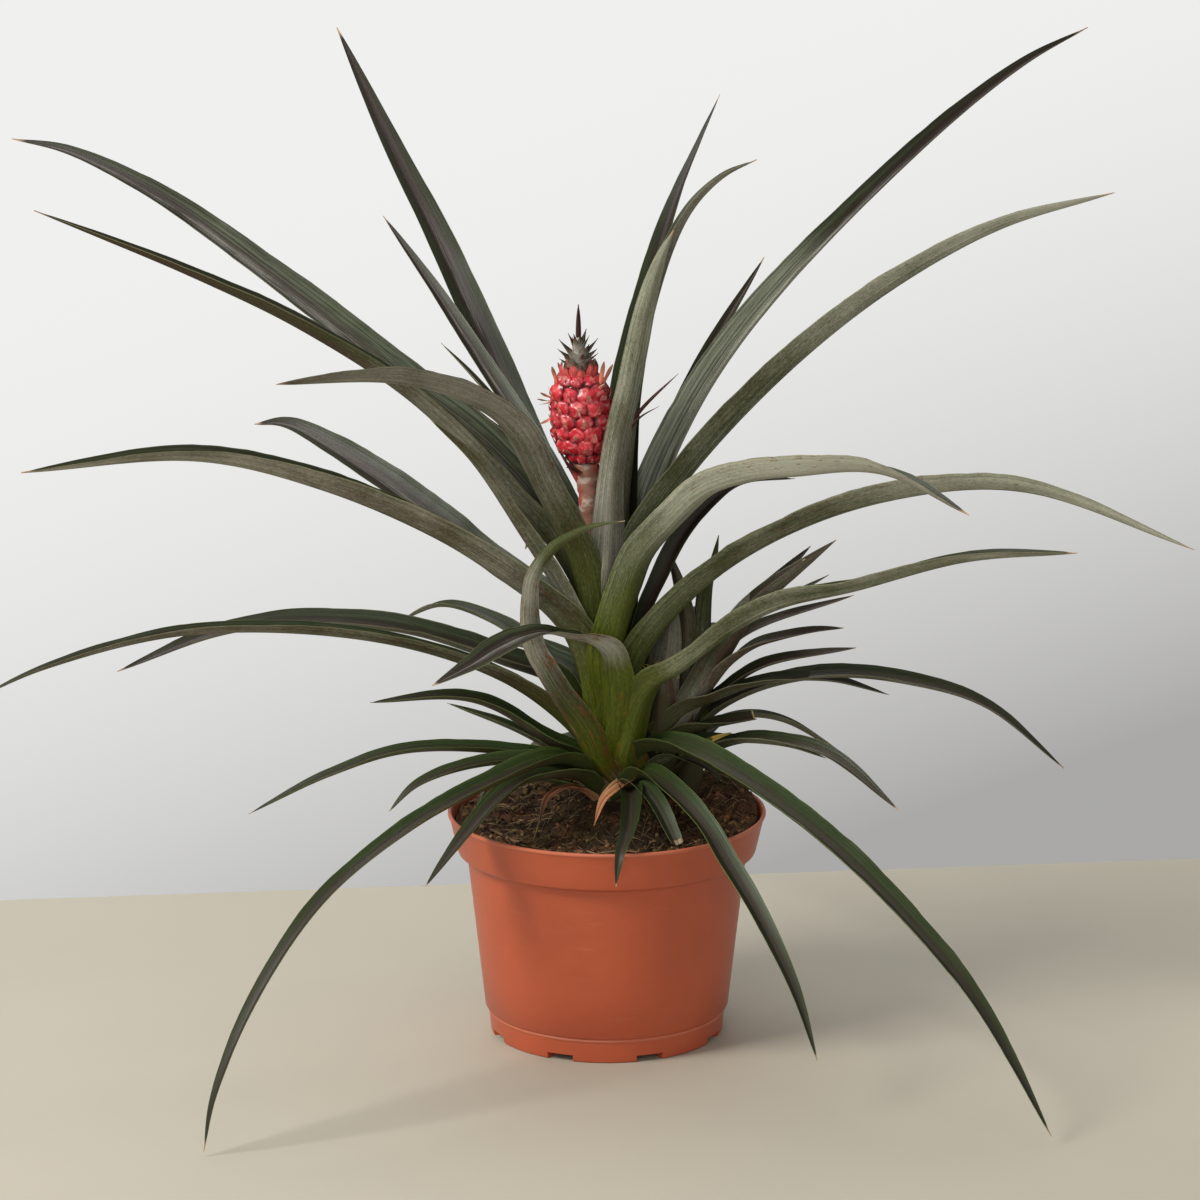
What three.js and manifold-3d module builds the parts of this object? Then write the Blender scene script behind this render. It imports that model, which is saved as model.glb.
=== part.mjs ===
// A potted ornamental pineapple plant: a red-fruited pineapple with its rosette of long arching
// leaves and one side shoot, rooted in peat in a 15 cm plastic nursery pot.
// Millimetres, +Z up. The origin is the middle of the pot's underside, and -Y is the front.

import * as THREE from 'three';
import Module from 'manifold-3d';
import { mergeVertices } from 'three/addons/utils/BufferGeometryUtils.js';

const wasm = await Module();
wasm.setup();

// Driving dimensions
const rimRadius = 75;
const potHeight = 107.6;
const footRadius = 55;
const wallThickness = 1.5;
const floorThickness = 2.4;
const gap = 0.3;                    // clear space between neighbouring pieces
const plantX = 3;                   // the rosette's axis at the soil, from the pot's axis
const stemLean = 0.081;             // sideways travel of the stem to the left for each mm of height
const stemLeanStart = 118;
const fruit = { bottom: 275.2, top: 317.8, radius: 12.6, eyesAround: 11, eyeRows: 8 };
const shootAxis = { x: 38, y: 19, leanX: 0.1, leanY: 0.02, base: 106 };   // the side shoot at the soil
const leafThickness = 1.25;
const leafEdge = 0.75;

const colours = {
  pot: 0xb4532f, soil: 0x3a2a1e, stem: 0x9a6a58, fruit: 0xc22b36, crown: 0x7d7a70,
  bract: 0x7c4a3e, upperLeaf: 0x4c5548, middleLeaf: 0x4a5a3c, lowerLeaf: 0x33502f,
  dryLeaf: 0xb4703c, shoot: 0x5a5540,
};

function finish(colour, roughness) {
  return new THREE.MeshStandardMaterial({ color: colour, roughness, metalness: 0 });
}

// Closed solids

function triangleList(geometry) {
  const order = geometry.index;
  const count = order ? order.count : geometry.getAttribute('position').count;
  return Array.from({ length: count }, (unused, i) => (order ? order.getX(i) : i));
}

function toSolid(geometry) {
  const bare = geometry.clone();
  bare.deleteAttribute('normal');
  bare.deleteAttribute('uv');
  const welded = mergeVertices(bare, 1e-4);
  const corners = triangleList(welded);
  const kept = [];
  for (let i = 0; i < corners.length; i += 3) {
    const [a, b, c] = corners.slice(i, i + 3);
    if (a !== b && b !== c && c !== a) kept.push(a, b, c);
  }
  const points = welded.getAttribute('position').array;
  let volume = 0;
  const corner = (i) => new THREE.Vector3().fromArray(points, 3 * kept[i]);
  for (let i = 0; i < kept.length; i += 3) {
    volume += corner(i).dot(corner(i + 1).cross(corner(i + 2)));
  }
  if (volume < 0) kept.reverse();
  return new wasm.Manifold(new wasm.Mesh({
    numProp: 3,
    vertProperties: Float32Array.from(points),
    triVerts: Uint32Array.from(kept),
  }));
}

function toGeometry(solid) {
  const mesh = solid.getMesh();
  const geometry = new THREE.BufferGeometry();
  geometry.setAttribute('position', new THREE.BufferAttribute(mesh.vertProperties.slice(), 3));
  geometry.setIndex(Array.from(mesh.triVerts));
  return geometry;
}

function largestPiece(solid) {
  const pieces = solid.decompose();
  return pieces.reduce((best, piece) => (piece.volume() > best.volume() ? piece : best));
}

function joinAll(solids) {
  return solids.reduce((whole, solid) => whole.add(solid));
}

// A closed skin over rows of points that all have the same count. Each row is a closed loop.
// crossed splits the squares along alternate diagonals.
function loft(loops, crossed = false) {
  const count = loops[0].length;
  const last = loops.length - 1;
  const points = loops.flat();
  const faces = [];
  for (let i = 0; i < last; i++) {
    for (let j = 0; j < count; j++) {
      const k = (j + 1) % count;
      const [a, b, c, d] = [i * count + j, i * count + k, (i + 1) * count + k, (i + 1) * count + j];
      if (crossed && (i + j) % 2 === 0) faces.push(a, b, d, b, c, d);
      else faces.push(a, b, c, a, c, d);
    }
  }
  for (let j = 1; j < count - 1; j++) {
    faces.push(0, j + 1, j);
    faces.push(last * count, last * count + j, last * count + j + 1);
  }
  const geometry = new THREE.BufferGeometry().setFromPoints(points);
  geometry.setIndex(faces);
  return toSolid(geometry);
}

function roundLoop(centre, radius, sides) {
  return Array.from({ length: sides }, (unused, i) => {
    const angle = (2 * Math.PI * i) / sides;
    return new THREE.Vector3(
      centre.x + radius * Math.cos(angle), centre.y + radius * Math.sin(angle), centre.z);
  });
}

function turned(profile, segments) {
  const geometry = new THREE.LatheGeometry(profile.map(([r, z]) => new THREE.Vector2(r, z)), segments);
  return toSolid(geometry.rotateX(Math.PI / 2));
}

// The pot

const potSegments = 36;
const bandBottom = 89.5;            // the rim band stands out above this height
const wallTop = 86.5;
const footTop = 11;

function potSolid() {
  const outside = [
    [0, 0], [footRadius - 0.8, 0], [footRadius, 0.8],
    [footRadius + 0.9, footTop - 0.9], [footRadius + 1.5, footTop - 0.3], [footRadius + 1.5, footTop + 0.4],
    [footRadius + 2.7, footTop + 2.2],
    [66, wallTop], [70.5, bandBottom],
    [rimRadius - 0.5, potHeight - 1.6], [rimRadius, potHeight - 1.2], [rimRadius, potHeight - 0.3],
    [rimRadius - 0.3, potHeight], [rimRadius - 1.2, potHeight],
  ];
  const inside = [
    [73.2 - 0.2, potHeight - 1.6], [69, bandBottom + 0.5], [64.5, wallTop + 0.5],
    [footRadius + 1.2, footTop + 2.4], [footRadius - 0.3, footTop],
    [footRadius - wallThickness - 0.2, floorThickness + 3], [footRadius - 5, floorThickness],
    [0, floorThickness],
  ];
  return turned([...outside, ...inside], potSegments);
}

// Eight drainage notches run in through the foot, a little narrower towards the middle.
const notch = { count: 8, width: 14.5, innerWidth: 9, depth: 11, height: 3.3, firstAngle: -113.5 };

function notchCutter(angleDegrees) {
  const outer = footRadius + 4;
  const inner = footRadius - notch.depth;
  const plan = new THREE.Shape([
    new THREE.Vector2(outer, -notch.width / 2), new THREE.Vector2(outer, notch.width / 2),
    new THREE.Vector2(inner, notch.innerWidth / 2), new THREE.Vector2(inner, -notch.innerWidth / 2),
  ]);
  const block = new THREE.ExtrudeGeometry(plan, { depth: notch.height + 1, bevelEnabled: false });
  return toSolid(block.translate(0, 0, -1).rotateZ(THREE.MathUtils.degToRad(angleDegrees)));
}

function notchedPot() {
  let pot = potSolid();
  for (let i = 0; i < notch.count; i++) {
    pot = pot.subtract(notchCutter(notch.firstAngle + (360 / notch.count) * i));
  }
  return pot;
}

// The peat, heaped a little round the stem and towards the back on the right

const soilSectors = 32;
const soilRings = [71, 61, 51, 41, 31, 21, 11];

function soilHeight(radius, angle) {
  const x = radius * Math.cos(angle);
  const y = radius * Math.sin(angle);
  const heap = 7.5 * Math.exp(-(radius * radius) / 1100);
  const hump = 5.5 * Math.exp(-((x - 46) ** 2 + (y - 26) ** 2) / 420);
  const crumbs = 0.9 * Math.sin(x * 0.31 + 1.3) * Math.cos(y * 0.27) + 0.7 * Math.sin(x * 0.83 - y * 0.61);
  return 102.2 + heap + hump + crumbs * (radius > 68 ? 0.5 : 1);
}

function soilSolid() {
  const side = [
    [footRadius - 5.4, floorThickness + 0.4], [footRadius - 2.1, floorThickness + 3.4],
    [footRadius - 0.7, footTop + 0.4], [footRadius + 0.8, footTop + 2.9],
    [64.1, wallTop + 0.8], [68.5, bandBottom + 1],
  ];
  const loops = side.map(([r, z]) => roundLoop(new THREE.Vector3(0, 0, z), r, soilSectors));
  for (const radius of soilRings) {
    loops.push(Array.from({ length: soilSectors }, (unused, i) => {
      const angle = (2 * Math.PI * i) / soilSectors;
      return new THREE.Vector3(
        radius * Math.cos(angle), radius * Math.sin(angle), soilHeight(radius, angle));
    }));
  }
  return loft(loops);
}

// The stem: a thick leafy foot, then the bare flower stalk that carries the fruit

function stemX(z) {
  return plantX - stemLean * Math.max(0, z - stemLeanStart);
}

const stemProfile = [
  [78, 6], [84, 9.5], [104, 11], [128, 11], [150, 9.5], [175, 7.2], [200, 5.4], [216, 4.5],
  [240, 4.2], [258, 4.2], [269, 4.6], [fruit.bottom - gap, 6],
];

function stemRadius(z) {
  const above = stemProfile.findIndex(([height]) => height > z);
  const [z0, r0] = stemProfile[above - 1];
  const [z1, r1] = stemProfile[above];
  return r0 + ((r1 - r0) * (z - z0)) / (z1 - z0);
}

function stemSolid(grow) {
  return loft(stemProfile.map(([z, radius], i) => {
    const ends = i === 0 ? -grow : i === stemProfile.length - 1 ? grow : 0;
    return roundLoop(new THREE.Vector3(stemX(z), 0, z + ends), radius + grow, 14);
  }));
}

// Blades: a leaf is a strip swept along its midrib, hollowed like a gutter on its upper face

// How wide the blade is along its length, as a share of its full width
function widthShare(t, foot) {
  const clasp = foot + (1.12 - foot) * THREE.MathUtils.smoothstep(t, 0, 0.16);
  const settle = THREE.MathUtils.lerp(clasp, Math.min(clasp, 1), THREE.MathUtils.smoothstep(t, 0.16, 0.35));
  return settle * Math.max(0, 1 - t ** 2.3) ** 0.85;
}

// shape: path (points), facing (degrees at the foot and tip), roll, width, hollow, edge, steps, foot.
// grow adds the same amount all round and at both ends, for the space that a neighbour keeps.
function bladeSolid(shape, grow = 0) {
  const curve = new THREE.CatmullRomCurve3(shape.path, false, 'centripetal');
  curve.arcLengthDivisions = 120;
  const tops = [];
  const bottoms = [];
  for (let i = 0; i <= shape.steps; i++) {
    const t = i / shape.steps;
    const centre = curve.getPointAt(t);
    const along = curve.getTangentAt(t);
    const facing = THREE.MathUtils.degToRad(THREE.MathUtils.lerp(shape.facing[0], shape.facing[1], t));
    const across = new THREE.Vector3(-Math.sin(facing), Math.cos(facing), 0);
    across.addScaledVector(along, -across.dot(along)).normalize();
    const roll = THREE.MathUtils.degToRad(THREE.MathUtils.lerp(shape.roll[0], shape.roll[1], t));
    across.applyAxisAngle(along, roll);
    const up = new THREE.Vector3().crossVectors(along, across);
    const half = Math.max((shape.width / 2) * widthShare(t, shape.foot), 0.5) + grow;
    const lift = half * THREE.MathUtils.lerp(shape.hollow, shape.hollow * 0.55, t);
    const edge = shape.edge / 2 + grow;
    const middle = THREE.MathUtils.lerp(leafThickness * 1.35, leafThickness * 0.8, t) / 2 + grow;
    const end = i === 0 ? -grow : i === shape.steps ? grow : 0;
    centre.addScaledVector(along, end);
    const station = (side, height) => centre.clone()
      .addScaledVector(across, side * half).addScaledVector(up, height);
    tops.push([station(-1, lift + edge), station(0, middle), station(1, lift + edge)]);
    bottoms.push([station(-1, lift - edge), station(0, -middle), station(1, lift - edge)]);
  }
  return bladeSkin(tops, bottoms);
}

// Both faces are split into triangles along the same diagonals.
function bladeSkin(tops, bottoms) {
  const columns = tops[0].length;
  const points = [...tops.flat(), ...bottoms.flat()];
  const top = (i, j) => i * columns + j;
  const bottom = (i, j) => (tops.length + i) * columns + j;
  const faces = [];
  const quad = (a, b, c, d) => faces.push(a, b, c, a, c, d);
  for (let i = 0; i < tops.length - 1; i++) {
    for (let j = 0; j < columns - 1; j++) {
      quad(top(i, j), top(i + 1, j), top(i + 1, j + 1), top(i, j + 1));
      faces.push(bottom(i, j), bottom(i + 1, j + 1), bottom(i + 1, j));
      faces.push(bottom(i, j), bottom(i, j + 1), bottom(i + 1, j + 1));
    }
    const end = columns - 1;
    quad(top(i, 0), bottom(i, 0), bottom(i + 1, 0), top(i + 1, 0));
    quad(top(i, end), top(i + 1, end), bottom(i + 1, end), bottom(i, end));
  }
  const last = tops.length - 1;
  for (let j = 0; j < columns - 1; j++) {
    quad(top(0, j), top(0, j + 1), bottom(0, j + 1), bottom(0, j));
    quad(top(last, j), bottom(last, j), bottom(last, j + 1), top(last, j + 1));
  }
  const geometry = new THREE.BufferGeometry().setFromPoints(points);
  geometry.setIndex(faces);
  return toSolid(geometry);
}

// The rosette. Each leaf leaves the stem at the height seat, towards azimuth (degrees from +X to +Y),
// and its route gives reach and height, and where it swings aside, that too. turn is how far the
// foot faces away from the azimuth, and roll leans the blade about its midrib from foot to tip.

const rosette = {
  leaf_upper_01: {
    azimuth: 270, seat: 190, width: 20, turn: 10,
    route: [[15, 232, -3], [18, 278, 0], [26, 318, 6], [34, 354, 13], [42, 380, 22], [46, 392, 27]],
  },
  leaf_upper_02: {
    azimuth: 72, seat: 196, width: 17, roll: [0, -20],
    route: [[10, 240], [20, 300], [44, 343], [79, 380], [169, 423]],
  },
  leaf_upper_03: {
    azimuth: 4, seat: 193, width: 18, roll: [0, 25],
    route: [[6, 230], [8, 267], [18, 340], [34, 391], [64, 419]],
  },
  leaf_upper_04: {
    azimuth: 118, seat: 191, width: 18, roll: [0, -25],
    route: [[33, 221], [81, 270], [133, 314], [183, 353], [232, 387], [296, 442]],
  },
  leaf_upper_05: {
    azimuth: 129, seat: 186, width: 12, roll: [0, -15],
    route: [[22, 232], [40, 260], [70, 284], [105, 311], [140, 339], [177, 367]],
  },
  leaf_upper_06: {
    azimuth: 28, seat: 184, width: 20, roll: [5, 35],
    route: [[17, 236], [31, 275], [54, 316], [92, 358], [173, 419], [257, 461]],
  },
  leaf_upper_07: {
    azimuth: 50, seat: 188, width: 10, roll: [0, 20],
    route: [[14, 205], [30, 261], [64, 309], [112, 356]],
  },
  leaf_upper_08: {
    azimuth: 156, seat: 180, width: 22, roll: [-5, -40],
    route: [[27, 231], [62, 275], [110, 312], [172, 350], [233, 383], [317, 407]],
  },
  leaf_upper_12: {
    azimuth: 158, seat: 184, width: 9,
    route: [[20, 240], [42, 278], [68, 307], [87, 325]],
  },
  leaf_upper_13: {
    azimuth: 180, seat: 170, width: 9,
    route: [[16, 226], [39, 274], [72, 301]],
  },
  leaf_upper_09: {
    azimuth: 228, seat: 172, width: 24, roll: [0, 20],
    route: [[24, 230], [48, 272], [73, 307], [106, 327], [147, 339], [218, 346]],
  },
  leaf_upper_10: {
    azimuth: -20, seat: 172, width: 20, roll: [-5, -40],
    route: [[8, 220], [30, 263], [76, 318], [127, 363], [181, 398], [236, 415]],
  },
  leaf_upper_11: {
    azimuth: 190, seat: 168, width: 20, roll: [5, 35],
    route: [[11, 195], [27, 232], [51, 263], [92, 308], [143, 345], [194, 372], [265, 400]],
  },
  leaf_upper_14: {
    azimuth: 206, seat: 156, width: 15, roll: [0, 20],
    route: [[10, 172], [29, 215], [48, 246], [72, 282], [93, 304]],
  },
  leaf_upper_15: {
    azimuth: 5, seat: 166, width: 10,
    route: [[17, 205], [31, 237], [59, 262], [85, 266]],
  },
  leaf_middle_01: {
    azimuth: -48, seat: 146, width: 24, roll: [0, -40],
    route: [[5, 191], [17, 217], [38, 247], [72, 274], [118, 292], [176, 302], [229, 290]],
  },
  leaf_middle_02: {
    azimuth: -22, seat: 140, width: 20, roll: [0, -40],
    route: [[14, 179], [41, 218], [79, 247], [134, 271], [198, 281], [279, 258]],
  },
  leaf_middle_03: {
    azimuth: 146, seat: 154, width: 18, roll: [-5, -35],
    route: [[30, 200], [64, 221], [113, 249], [158, 267], [189, 274], [210, 268]],
  },
  leaf_middle_04: {
    azimuth: 198, seat: 146, width: 24, roll: [5, 0],
    route: [[18, 184], [31, 206], [52, 227], [83, 251], [137, 279], [197, 294], [279, 289]],
  },
  leaf_middle_05: {
    azimuth: -32, seat: 127, width: 19, roll: [0, -20],
    route: [[15, 147], [25, 170], [55, 198], [116, 229], [185, 253], [241, 262]],
  },
  leaf_middle_06: {
    azimuth: 193, seat: 134, width: 18, roll: [10, 0],
    route: [[20, 146], [51, 174], [110, 198], [199, 207], [265, 194], [297, 180]],
  },
  leaf_middle_07: {
    azimuth: 174, seat: 136, width: 17, roll: [0, -10],
    route: [[25, 170], [53, 184], [94, 197], [138, 201], [184, 193], [236, 168]],
  },
  leaf_middle_08: {
    azimuth: 140, seat: 138, width: 13,
    route: [[20, 166], [45, 175], [75, 186], [107, 189], [135, 177]],
  },
  leaf_middle_09: {
    azimuth: 270, seat: 124, width: 15, turn: -30,
    route: [[18, 138, -7], [26, 158, -25], [37, 190, -40], [52, 234, -36], [60, 258, -11], [64, 262, 5]],
  },
  leaf_middle_10: {
    azimuth: 270, seat: 127, width: 24, turn: -50,
    route: [[18, 146, 3], [24, 170, 1], [32, 190, -1], [44, 204, -20], [54, 204, -43], [68, 184, -86]],
  },
  leaf_back_01: {
    azimuth: 80, seat: 164, width: 17,
    route: [[14, 194], [34, 224], [72, 240], [120, 232], [170, 200]],
  },
  leaf_back_02: {
    azimuth: 104, seat: 156, width: 17,
    route: [[14, 184], [36, 214], [74, 230], [126, 222], [180, 192]],
  },
  leaf_back_03: {
    azimuth: 58, seat: 142, width: 15,
    route: [[16, 160], [46, 178], [90, 180], [130, 165], [162, 138]],
  },
  leaf_back_04: {
    azimuth: 126, seat: 140, width: 15,
    route: [[16, 158], [44, 170], [90, 170], [130, 155], [166, 126]],
  },
  leaf_back_05: {
    azimuth: 94, seat: 134, width: 13,
    route: [[20, 152], [50, 168], [98, 168], [144, 146], [176, 112]],
  },
  leaf_back_06: {
    azimuth: 72, seat: 125, width: 11,
    route: [[20, 136], [50, 148], [92, 142], [130, 118]],
  },
  leaf_back_07: {
    azimuth: 116, seat: 123, width: 11,
    route: [[20, 131], [50, 138], [92, 130], [128, 106]],
  },
  leaf_lower_01: {
    azimuth: 183, seat: 126, width: 13, roll: [0, -10],
    route: [[17, 134], [31, 143], [53, 160], [71, 165], [114, 161]],
  },
  leaf_lower_02: {
    azimuth: 166, seat: 122, width: 9,
    route: [[20, 128], [44, 141], [81, 154]],
  },
  leaf_lower_03: {
    azimuth: 188, seat: 119, width: 13, roll: [0, -10],
    route: [[18, 127], [43, 137], [97, 141], [134, 130], [172, 112]],
  },
  leaf_lower_04: {
    azimuth: 203, seat: 120, width: 12, roll: [0, -10],
    route: [[27, 131], [65, 136], [98, 130], [113, 119]],
  },
  leaf_lower_05: {
    azimuth: 225, seat: 124, width: 14,
    route: [[34, 139], [84, 138], [133, 127], [187, 103], [227, 65], [250, 26], [257, 2]],
  },
  leaf_lower_06: {
    azimuth: 222, seat: 117, width: 13,
    route: [[22, 126], [54, 131], [69, 126], [85, 116], [116, 93]],
  },
  leaf_lower_07: {
    azimuth: 212, seat: 115, width: 6,
    route: [[22, 121], [50, 130], [68, 129], [76, 116]],
  },
  leaf_lower_08: {
    azimuth: 270, seat: 115, width: 10,
    route: [[20, 122, 7], [50, 119, 8], [70, 114.5, 6], [81, 109.5, 3], [87, 96, 1]],
  },
  leaf_lower_09: {
    azimuth: -62, seat: 115, width: 9,
    route: [[20, 125], [40, 124], [58, 112]],
  },
  leaf_lower_10: {
    azimuth: -56, seat: 119, width: 12,
    route: [[24, 129], [52, 125], [74, 116], [92, 103], [110, 90], [143, 60], [164, 29]],
  },
  leaf_dry_01: {
    azimuth: 236, seat: 113, width: 7,
    route: [[22, 122], [37, 126], [46, 124], [51, 113]],
  },
  leaf_dry_02: {
    azimuth: 270, seat: 118, width: 10,
    route: [[16, 126, 4], [26, 125, 1], [34, 122, -5], [40, 114, -8]],
  },
  leaf_lower_11: {
    azimuth: -41, seat: 128, width: 17,
    route: [[18, 143], [39, 149], [85, 137], [131, 115], [175, 88], [215, 57], [258, 5]],
  },
};

const bladeSegmentLength = 30;

function leafShape(leaf) {
  const angle = THREE.MathUtils.degToRad(leaf.azimuth);
  const out = new THREE.Vector3(Math.cos(angle), Math.sin(angle), 0);
  const aside = new THREE.Vector3(-Math.sin(angle), Math.cos(angle), 0);
  const seat = new THREE.Vector3(stemX(leaf.seat), 0, leaf.seat)
    .addScaledVector(out, stemRadius(leaf.seat) + gap + 0.5);
  const path = leaf.route.map(([reach, height, swing = 0]) => new THREE.Vector3(plantX, 0, height)
    .addScaledVector(out, reach).addScaledVector(aside, swing));
  path.unshift(seat);
  const length = path.slice(1).reduce((sum, point, i) => sum + point.distanceTo(path[i]), 0);
  const turn = leaf.turn ?? 0;
  return {
    path,
    facing: [leaf.azimuth, leaf.azimuth + turn],
    roll: leaf.roll ?? [0, 0],
    width: leaf.width,
    hollow: leaf.hollow ?? 0.5,
    edge: leafEdge,
    foot: 0.35,
    steps: Math.max(5, Math.round(length / bladeSegmentLength)),
  };
}

function boxesMeet(a, b) {
  const first = a.boundingBox();
  const second = b.boundingBox();
  return [0, 1, 2].every((axis) => first.min[axis] < second.max[axis] && second.min[axis] < first.max[axis]);
}

// Leaves nest from the heart outwards: each one is cut back where an inner leaf already lies.
function nestedLeaves(keepOut) {
  const taken = [...keepOut];
  const result = {};
  for (const [name, leaf] of Object.entries(rosette)) {
    const shape = leafShape(leaf);
    let blade = bladeSolid(shape);
    for (const solid of taken) {
      if (boxesMeet(blade, solid)) blade = blade.subtract(solid);
    }
    result[name] = largestPiece(blade);
    taken.push(bladeSolid(shape, gap));
  }
  return result;
}

// The fruit: rows of rounded eyes, each row half an eye on from the one below and a little turned

const eyeRelief = 2.9;
const eyeTwist = 0.02;              // radians that the rows turn for each half row

function fruitRadius(share) {
  return fruit.radius * (1 - Math.abs(1.94 * share - 0.97) ** 3) ** 0.45;
}

// column counts quarter eyes round the fruit, and row counts half rows up from its underside.
function eyeHeight(column, row) {
  const eyeRow = (row - 1) / 2;
  let nearest = 1;
  for (const neighbour of [Math.floor(eyeRow), Math.ceil(eyeRow)]) {
    const offset = column / 2 - neighbour;
    const aside = Math.abs(offset - 2 * Math.round(offset / 2));
    nearest = Math.min(nearest, aside + Math.abs(eyeRow - neighbour));
  }
  return eyeRelief * (1 - nearest ** 1.6);
}

function fruitSolid(grow) {
  const rows = 2 * fruit.eyeRows;
  const columns = 4 * fruit.eyesAround;
  const loops = Array.from({ length: rows + 1 }, (unused, i) => {
    const share = i / rows;
    const radius = fruitRadius(share);
    const ends = i === 0 ? -grow : i === rows ? grow : 0;
    const z = THREE.MathUtils.lerp(fruit.bottom, fruit.top, share) + ends;
    return Array.from({ length: columns }, (ignored, j) => {
      const angle = (2 * Math.PI * j) / columns + eyeTwist * i;
      const relief = i === 0 || i === rows ? 0 : eyeHeight(j, i) * Math.min(1, radius / 11);
      const reach = radius + relief + grow;
      return new THREE.Vector3(stemX(z) + reach * Math.cos(angle), reach * Math.sin(angle), z);
    });
  });
  return loft(loops, true);
}

// A small blade that grows from a leaning axis, by reach and height as in the rosette
function sprigBlade(axis, blade, steps) {
  const angle = THREE.MathUtils.degToRad(blade.azimuth);
  const path = blade.route.map(([reach, height]) => new THREE.Vector3(
    axis.x + reach * Math.cos(angle), axis.y + reach * Math.sin(angle), height));
  return bladeSolid({
    path, facing: [blade.azimuth, blade.azimuth], roll: [0, blade.roll ?? 0], width: blade.width,
    hollow: blade.hollow ?? 0.45, edge: 0, foot: 0.9, steps,
  });
}

// The crown: whorls of short pointed blades up a small core, and one spike

const crown = { bottom: fruit.top + gap, coreTop: 335, spikeTop: 349.5 };
const crownWhorls = [
  { count: 6, height: 319.5, reach: 11.5, rise: 5, width: 5.6, turn: 10 },
  { count: 6, height: 322.5, reach: 10.5, rise: 7, width: 5.4, turn: 38 },
  { count: 5, height: 326, reach: 9, rise: 8.5, width: 5, turn: 5 },
  { count: 4, height: 329, reach: 6.5, rise: 9.5, width: 4.4, turn: 30 },
  { count: 3, height: 331.5, reach: 3.8, rise: 8.5, width: 3.8, turn: 70 },
];

function crownSolid() {
  const axis = { x: stemX(crown.bottom), y: 0 };
  const profile = [
    [crown.bottom, 4.6], [325, 4.8], [331, 3.2], [crown.coreTop, 1.7], [crown.spikeTop, 0.4],
  ];
  const core = loft(profile.map(([z, radius]) => roundLoop(new THREE.Vector3(axis.x, 0, z), radius, 10)));
  const solids = [core];
  for (const { count, height, reach, rise, width, turn } of crownWhorls) {
    const route = [[2.2, height], [reach * 0.55, height + rise * 0.5], [reach, height + rise]];
    for (let i = 0; i < count; i++) {
      solids.push(sprigBlade(axis, { azimuth: turn + (360 / count) * i, width, route }, 2));
    }
  }
  return joinAll(solids);
}

// The bracts: a collar below the fruit with a few long pointed bracts

const bracts = [
  { azimuth: 0, width: 6, route: [[4.9, 265], [12, 278], [24, 298], [42, 317]] },
  { azimuth: -20, width: 5, route: [[4.9, 264], [13, 277], [25, 297], [35, 304]] },
  { azimuth: 190, width: 6, route: [[4.9, 265], [9, 272], [14, 280], [20, 290]] },
  { azimuth: 255, width: 6, route: [[4.9, 266], [9, 271], [14, 276], [18, 280]] },
  { azimuth: 75, width: 6, route: [[4.9, 266], [9, 272], [15, 278], [20, 286]] },
  { azimuth: 130, width: 5, route: [[4.9, 264], [10, 271], [18, 281], [23, 293]] },
];

function bractSolid() {
  const ring = (z, radius) => roundLoop(new THREE.Vector3(stemX(z), 0, z), radius, 14);
  const collar = loft([ring(260, 5.1), ring(262, 6), ring(268, 6.4), ring(270, 6)]);
  const axis = { x: stemX(265), y: 0 };
  return joinAll([collar, ...bracts.map((bract) => sprigBlade(axis, bract, 3))]);
}

// The side shoot: a short leafy stem out of the peat on the right

const shootBlades = [
  { azimuth: 180, width: 14, route: [[-4, 140], [-6, 166], [-3, 192], [9, 228]] },
  { azimuth: 0, width: 9, route: [[4, 150], [8, 180], [10, 198], [14, 238]] },
  { azimuth: 150, width: 8, route: [[-3, 150], [-5, 185], [-7, 222]] },
  {
    azimuth: -30, width: 17, roll: -30,
    route: [[3, 130], [6, 150], [17, 170], [28, 189], [33, 205]],
  },
  {
    azimuth: -20, width: 15, roll: 30,
    route: [[3, 135], [8, 168], [18, 186], [34, 205], [72, 237]],
  },
  { azimuth: 25, width: 12, roll: 25, route: [[3, 140], [8, 162], [20, 183], [65, 224]] },
  { azimuth: 35, width: 9, route: [[3, 132], [10, 160], [28, 183], [84, 205]] },
  { azimuth: 5, width: 9, roll: 25, route: [[3, 132], [8, 161], [25, 185], [79, 205]] },
  {
    azimuth: -36, width: 14, roll: 25,
    route: [[3, 125], [6, 149], [16, 161], [37, 179], [85, 203]],
  },
  {
    azimuth: -8, width: 11, roll: 25,
    route: [[3, 126], [8, 150], [18, 160], [36, 173], [80, 184]],
  },
  {
    azimuth: 0, width: 14, roll: 25,
    route: [[3, 122], [7, 144], [16, 155], [33, 161], [67, 167], [103, 164], [140, 153], [179, 122]],
  },
  {
    azimuth: -25, width: 11, roll: 15,
    route: [[3, 120], [7, 138], [20, 150], [43, 160], [80, 166], [116, 158]],
  },
  { azimuth: 15, width: 10, route: [[3, 118], [9, 138], [27, 145], [47, 142], [81, 121]] },
  {
    azimuth: -40, width: 13, roll: 15,
    route: [[3, 114], [9, 130], [26, 139], [50, 144], [85, 143], [125, 125]],
  },
  { azimuth: -18, width: 16, route: [[3, 118], [8, 131], [18, 139], [31, 148]] },
  { azimuth: 250, width: 18, route: [[3, 116], [7, 140], [9, 162], [7, 182], [4, 192]] },
  { azimuth: 82, width: 12, route: [[3, 124], [9, 150], [22, 172], [46, 186], [76, 180]] },
  { azimuth: 112, width: 11, route: [[3, 118], [9, 138], [24, 154], [50, 156], [72, 142]] },
  { azimuth: 55, width: 11, route: [[3, 114], [10, 130], [30, 142], [60, 136], [84, 116]] },
];

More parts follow.
